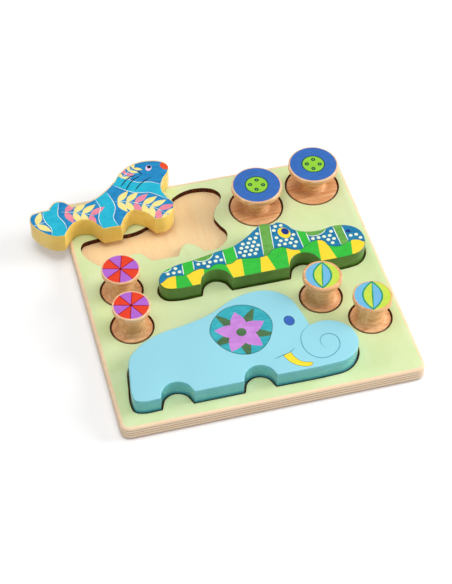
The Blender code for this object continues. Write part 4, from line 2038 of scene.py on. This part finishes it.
        bulge, side = self.lens_half * radius, self.overprint * radius
        heights = [2 * step / self.lens_steps - 1 for step in range(self.lens_steps + 1)]
        right = [(bulge * (1 - y * y), radius * y) for y in heights]
        left = [(-x, y) for x, y in reversed(right)]
        sheet = PrintSheet(self.name + "_print", self.top + AREA_RISE, bounded=True)
        sheet.paint(disc(self.place, radius, self.sides), BALL_BLUE)
        sheet.paint(put([(0, -side), (side, -side), (side, side), (0, side)]), BALL_LIME)
        sheet.paint(put(left + [(0, -radius)]), BALL_LIME)
        sheet.paint(put(right + [(0, radius)]), BALL_BLUE)
        lens, middle = put(right[:-1] + left[:-1]), put([(0, -radius), (0, 0), (0, radius)])
        return [
            sheet.finished(),
            shop.drawn(self.name + "_lens_line", lens, self.top, self.ball_pen, BALL_LINE, True),
            shop.drawn(self.name + "_middle_line", middle, self.top, self.ball_pen, BALL_LINE),
        ]

    def build(self, shop: Workshop) -> None:
        """Turn the wood, print it and hang it all on the spool's body.

        Args:
            shop: the shared recipes.
        """
        prints: dict[Motif, Callable[[Workshop], list[Piece]]] = {
            Motif.BUTTON: self.button, Motif.WHEEL: self.wheel, Motif.BALL: self.ball}
        ridden(self.body(shop), self.name, "beech", self.name)
        for layer in prints[self.motif](shop):
            ridden(layer, self.name, "beech")


def spool_set() -> list[Spool]:
    """The six spools.

    Returns:
        Two wide ones with buttons and four small ones with wheels and balls.
    """
    wide = dict(motif=Motif.BUTTON, flange=21.1 * MM, face=19.6 * MM, neck=9.9 * MM, cove=8.0)
    small = dict(flange=15.9 * MM, face=14.3 * MM, neck=10.2 * MM, cove=2.6)
    wheel = dict(motif=Motif.WHEEL, **small)
    ball = dict(motif=Motif.BALL, highlight_depth=0.0, **small)
    spools = (
        ("button_spool_left", (38.2, 78.5), -0.75, 19.3, 20.7, wide),
        ("button_spool_right", (90.1, 90.1), -0.6, 19.3, 20.7, wide),
        ("wheel_spool_back", (-89.8, 15.7), -0.7, 14.2, 15.3, wheel),
        ("wheel_spool_front", (-90.1, -23.1), -0.3, 13.6, 15.0, wheel),
        ("ball_spool_left", (61.7, -29.7), -1.0, 13.3, 15.6, ball),
        ("ball_spool_right", (93.3, -59.6), -0.6, 14.2, 15.5, ball),
    )
    return [Spool(name, place=place, grain_turn=turn, print_radius=radius, crown=crown * MM, **kind)
            for name, place, turn, radius, crown, kind in spools]


# The room

def grey(level: float) -> Colour:
    """An opaque grey in linear light."""
    return level, level, level, 1.0


@dataclass(frozen=True)
class Lamp:
    """A round soft lamp that looks at the tray."""

    name: str
    place: tuple[float, float, float]
    size: float
    power: float

    def build(self) -> None:
        """Hang it in the room."""
        light = bpy.data.lights.new(self.name, "AREA")
        light.shape = "DISK"
        light.size = self.size
        light.energy = self.power
        made = link(self.name, light)
        made.location = self.place
        made.rotation_euler = (-Vector(self.place)).to_track_quat("-Z", "Y").to_euler()


@dataclass
class Studio:
    """A white floor, soft light and the camera of the photograph's angle."""

    floor_half: float = 4.0
    floor_drop: float = 0.05 * MM
    floor_seen: float = 0.9
    floor_bounced: float = 0.5
    glow_near: float = 0.19
    glow_rise: float = 0.7
    glow_span: Place = (0.45, 1.8)
    sky: float = 0.28
    lens: float = 108.19
    long_side: float = 36.0
    clip: Place = (0.01, 50.0)
    camera_place: tuple[float, float, float] = (-253.277, -890.443, 1063.515)
    camera_turn: tuple[float, float, float] = (41.108, -0.498, -14.819)
    lamps: tuple[Lamp, ...] = (
        Lamp("key", (1.55, -0.1, 0.66), 1.2, 23.5),
        Lamp("overhead", (-0.1, -0.1, 2.5), 1.8, 29.0),
        Lamp("left_fill", (-1.5, 0.1, 0.5), 0.8, 4.0),
        Lamp("front_fill", (0.1, -1.6, 0.3), 0.8, 4.5),
    )

    def floor_material(self) -> bpy.types.Material:
        """Matte white that glows more, the further it is from the tray.

        Returns:
            The material; light that bounces off it is dimmer than what the camera sees.
        """
        material = bpy.data.materials.new("floor_white")
        material.use_nodes = True
        material.node_tree.nodes.clear()
        graph = Graph(material.node_tree)
        far = graph.step(graph.vectors("LENGTH", graph.place()), *self.glow_span)
        strength = graph.maths("MULTIPLY_ADD", far, self.glow_rise, self.glow_near)
        matte = graph.node("ShaderNodeBsdfDiffuse", {"Color": grey(self.floor_seen)})
        glow = graph.node("ShaderNodeEmission", {"Color": grey(1.0), "Strength": strength})
        both = graph.node("ShaderNodeAddShader", {0: matte.outputs[0], 1: glow.outputs[0]})
        dim = graph.node("ShaderNodeBsdfDiffuse", {"Color": grey(self.floor_bounced)})
        seen = graph.node("ShaderNodeLightPath").outputs
        direct = graph.maths("MAXIMUM", seen["Is Camera Ray"], seen["Is Glossy Ray"])
        choice = graph.node("ShaderNodeMixShader", {0: direct, 1: dim.outputs[0], 2: both.outputs[0]})
        graph.node("ShaderNodeOutputMaterial", {"Surface": choice.outputs[0]})
        return material

    def floor(self) -> None:
        """A white floor that looks white and keeps the object's shadow."""
        mesh = bpy.data.meshes.new("floor")
        half, level = self.floor_half, -self.floor_drop
        corners = [(-half, -half, level), (half, -half, level), (half, half, level), (-half, half, level)]
        mesh.from_pydata(corners, [], [(0, 1, 2, 3)])
        mesh.materials.append(self.floor_material())
        link("floor", mesh)

    def light(self) -> None:
        """White sky, a low lamp on the right, a broad one overhead and two weak ones."""
        world = bpy.data.worlds.new("studio")
        bpy.context.scene.world = world
        world.use_nodes = True
        graph = Graph(world.node_tree)
        seen = graph.node("ShaderNodeLightPath").outputs["Is Camera Ray"]
        graph.feed(world.node_tree.nodes["Background"], {
            "Color": grey(1.0), "Strength": graph.maths("MAXIMUM", seen, self.sky)})
        for lamp in self.lamps:
            lamp.build()

    def camera(self) -> None:
        """The camera where the photograph was taken from."""
        data = bpy.data.cameras.new("photo_camera")
        data.sensor_fit = "VERTICAL"
        data.sensor_height = self.long_side
        data.lens = self.lens
        data.clip_start, data.clip_end = self.clip
        made = link("photo_camera", data)
        turn = Euler([math.radians(angle) for angle in self.camera_turn]).to_matrix().to_4x4()
        made.matrix_world = Matrix.Translation(Vector(self.camera_place) * MM) @ turn
        bpy.context.scene.camera = made

    def build(self) -> None:
        """Set up the whole room."""
        self.floor()
        self.light()
        self.camera()


def main() -> None:
    """Build the studio and dress the puzzle."""
    logging.basicConfig(level=logging.INFO, format="%(name)s: %(message)s")
    bpy.context.scene.view_settings.view_transform = "Standard"
    Studio().build()
    shop = Workshop()
    spools = spool_set()
    Tray().build(spools)
    for animal in (Elephant(), Crocodile(), Seal()):
        animal.build(shop)
    for spool in spools:
        spool.build(shop)


if __name__ == "__main__":
    main()
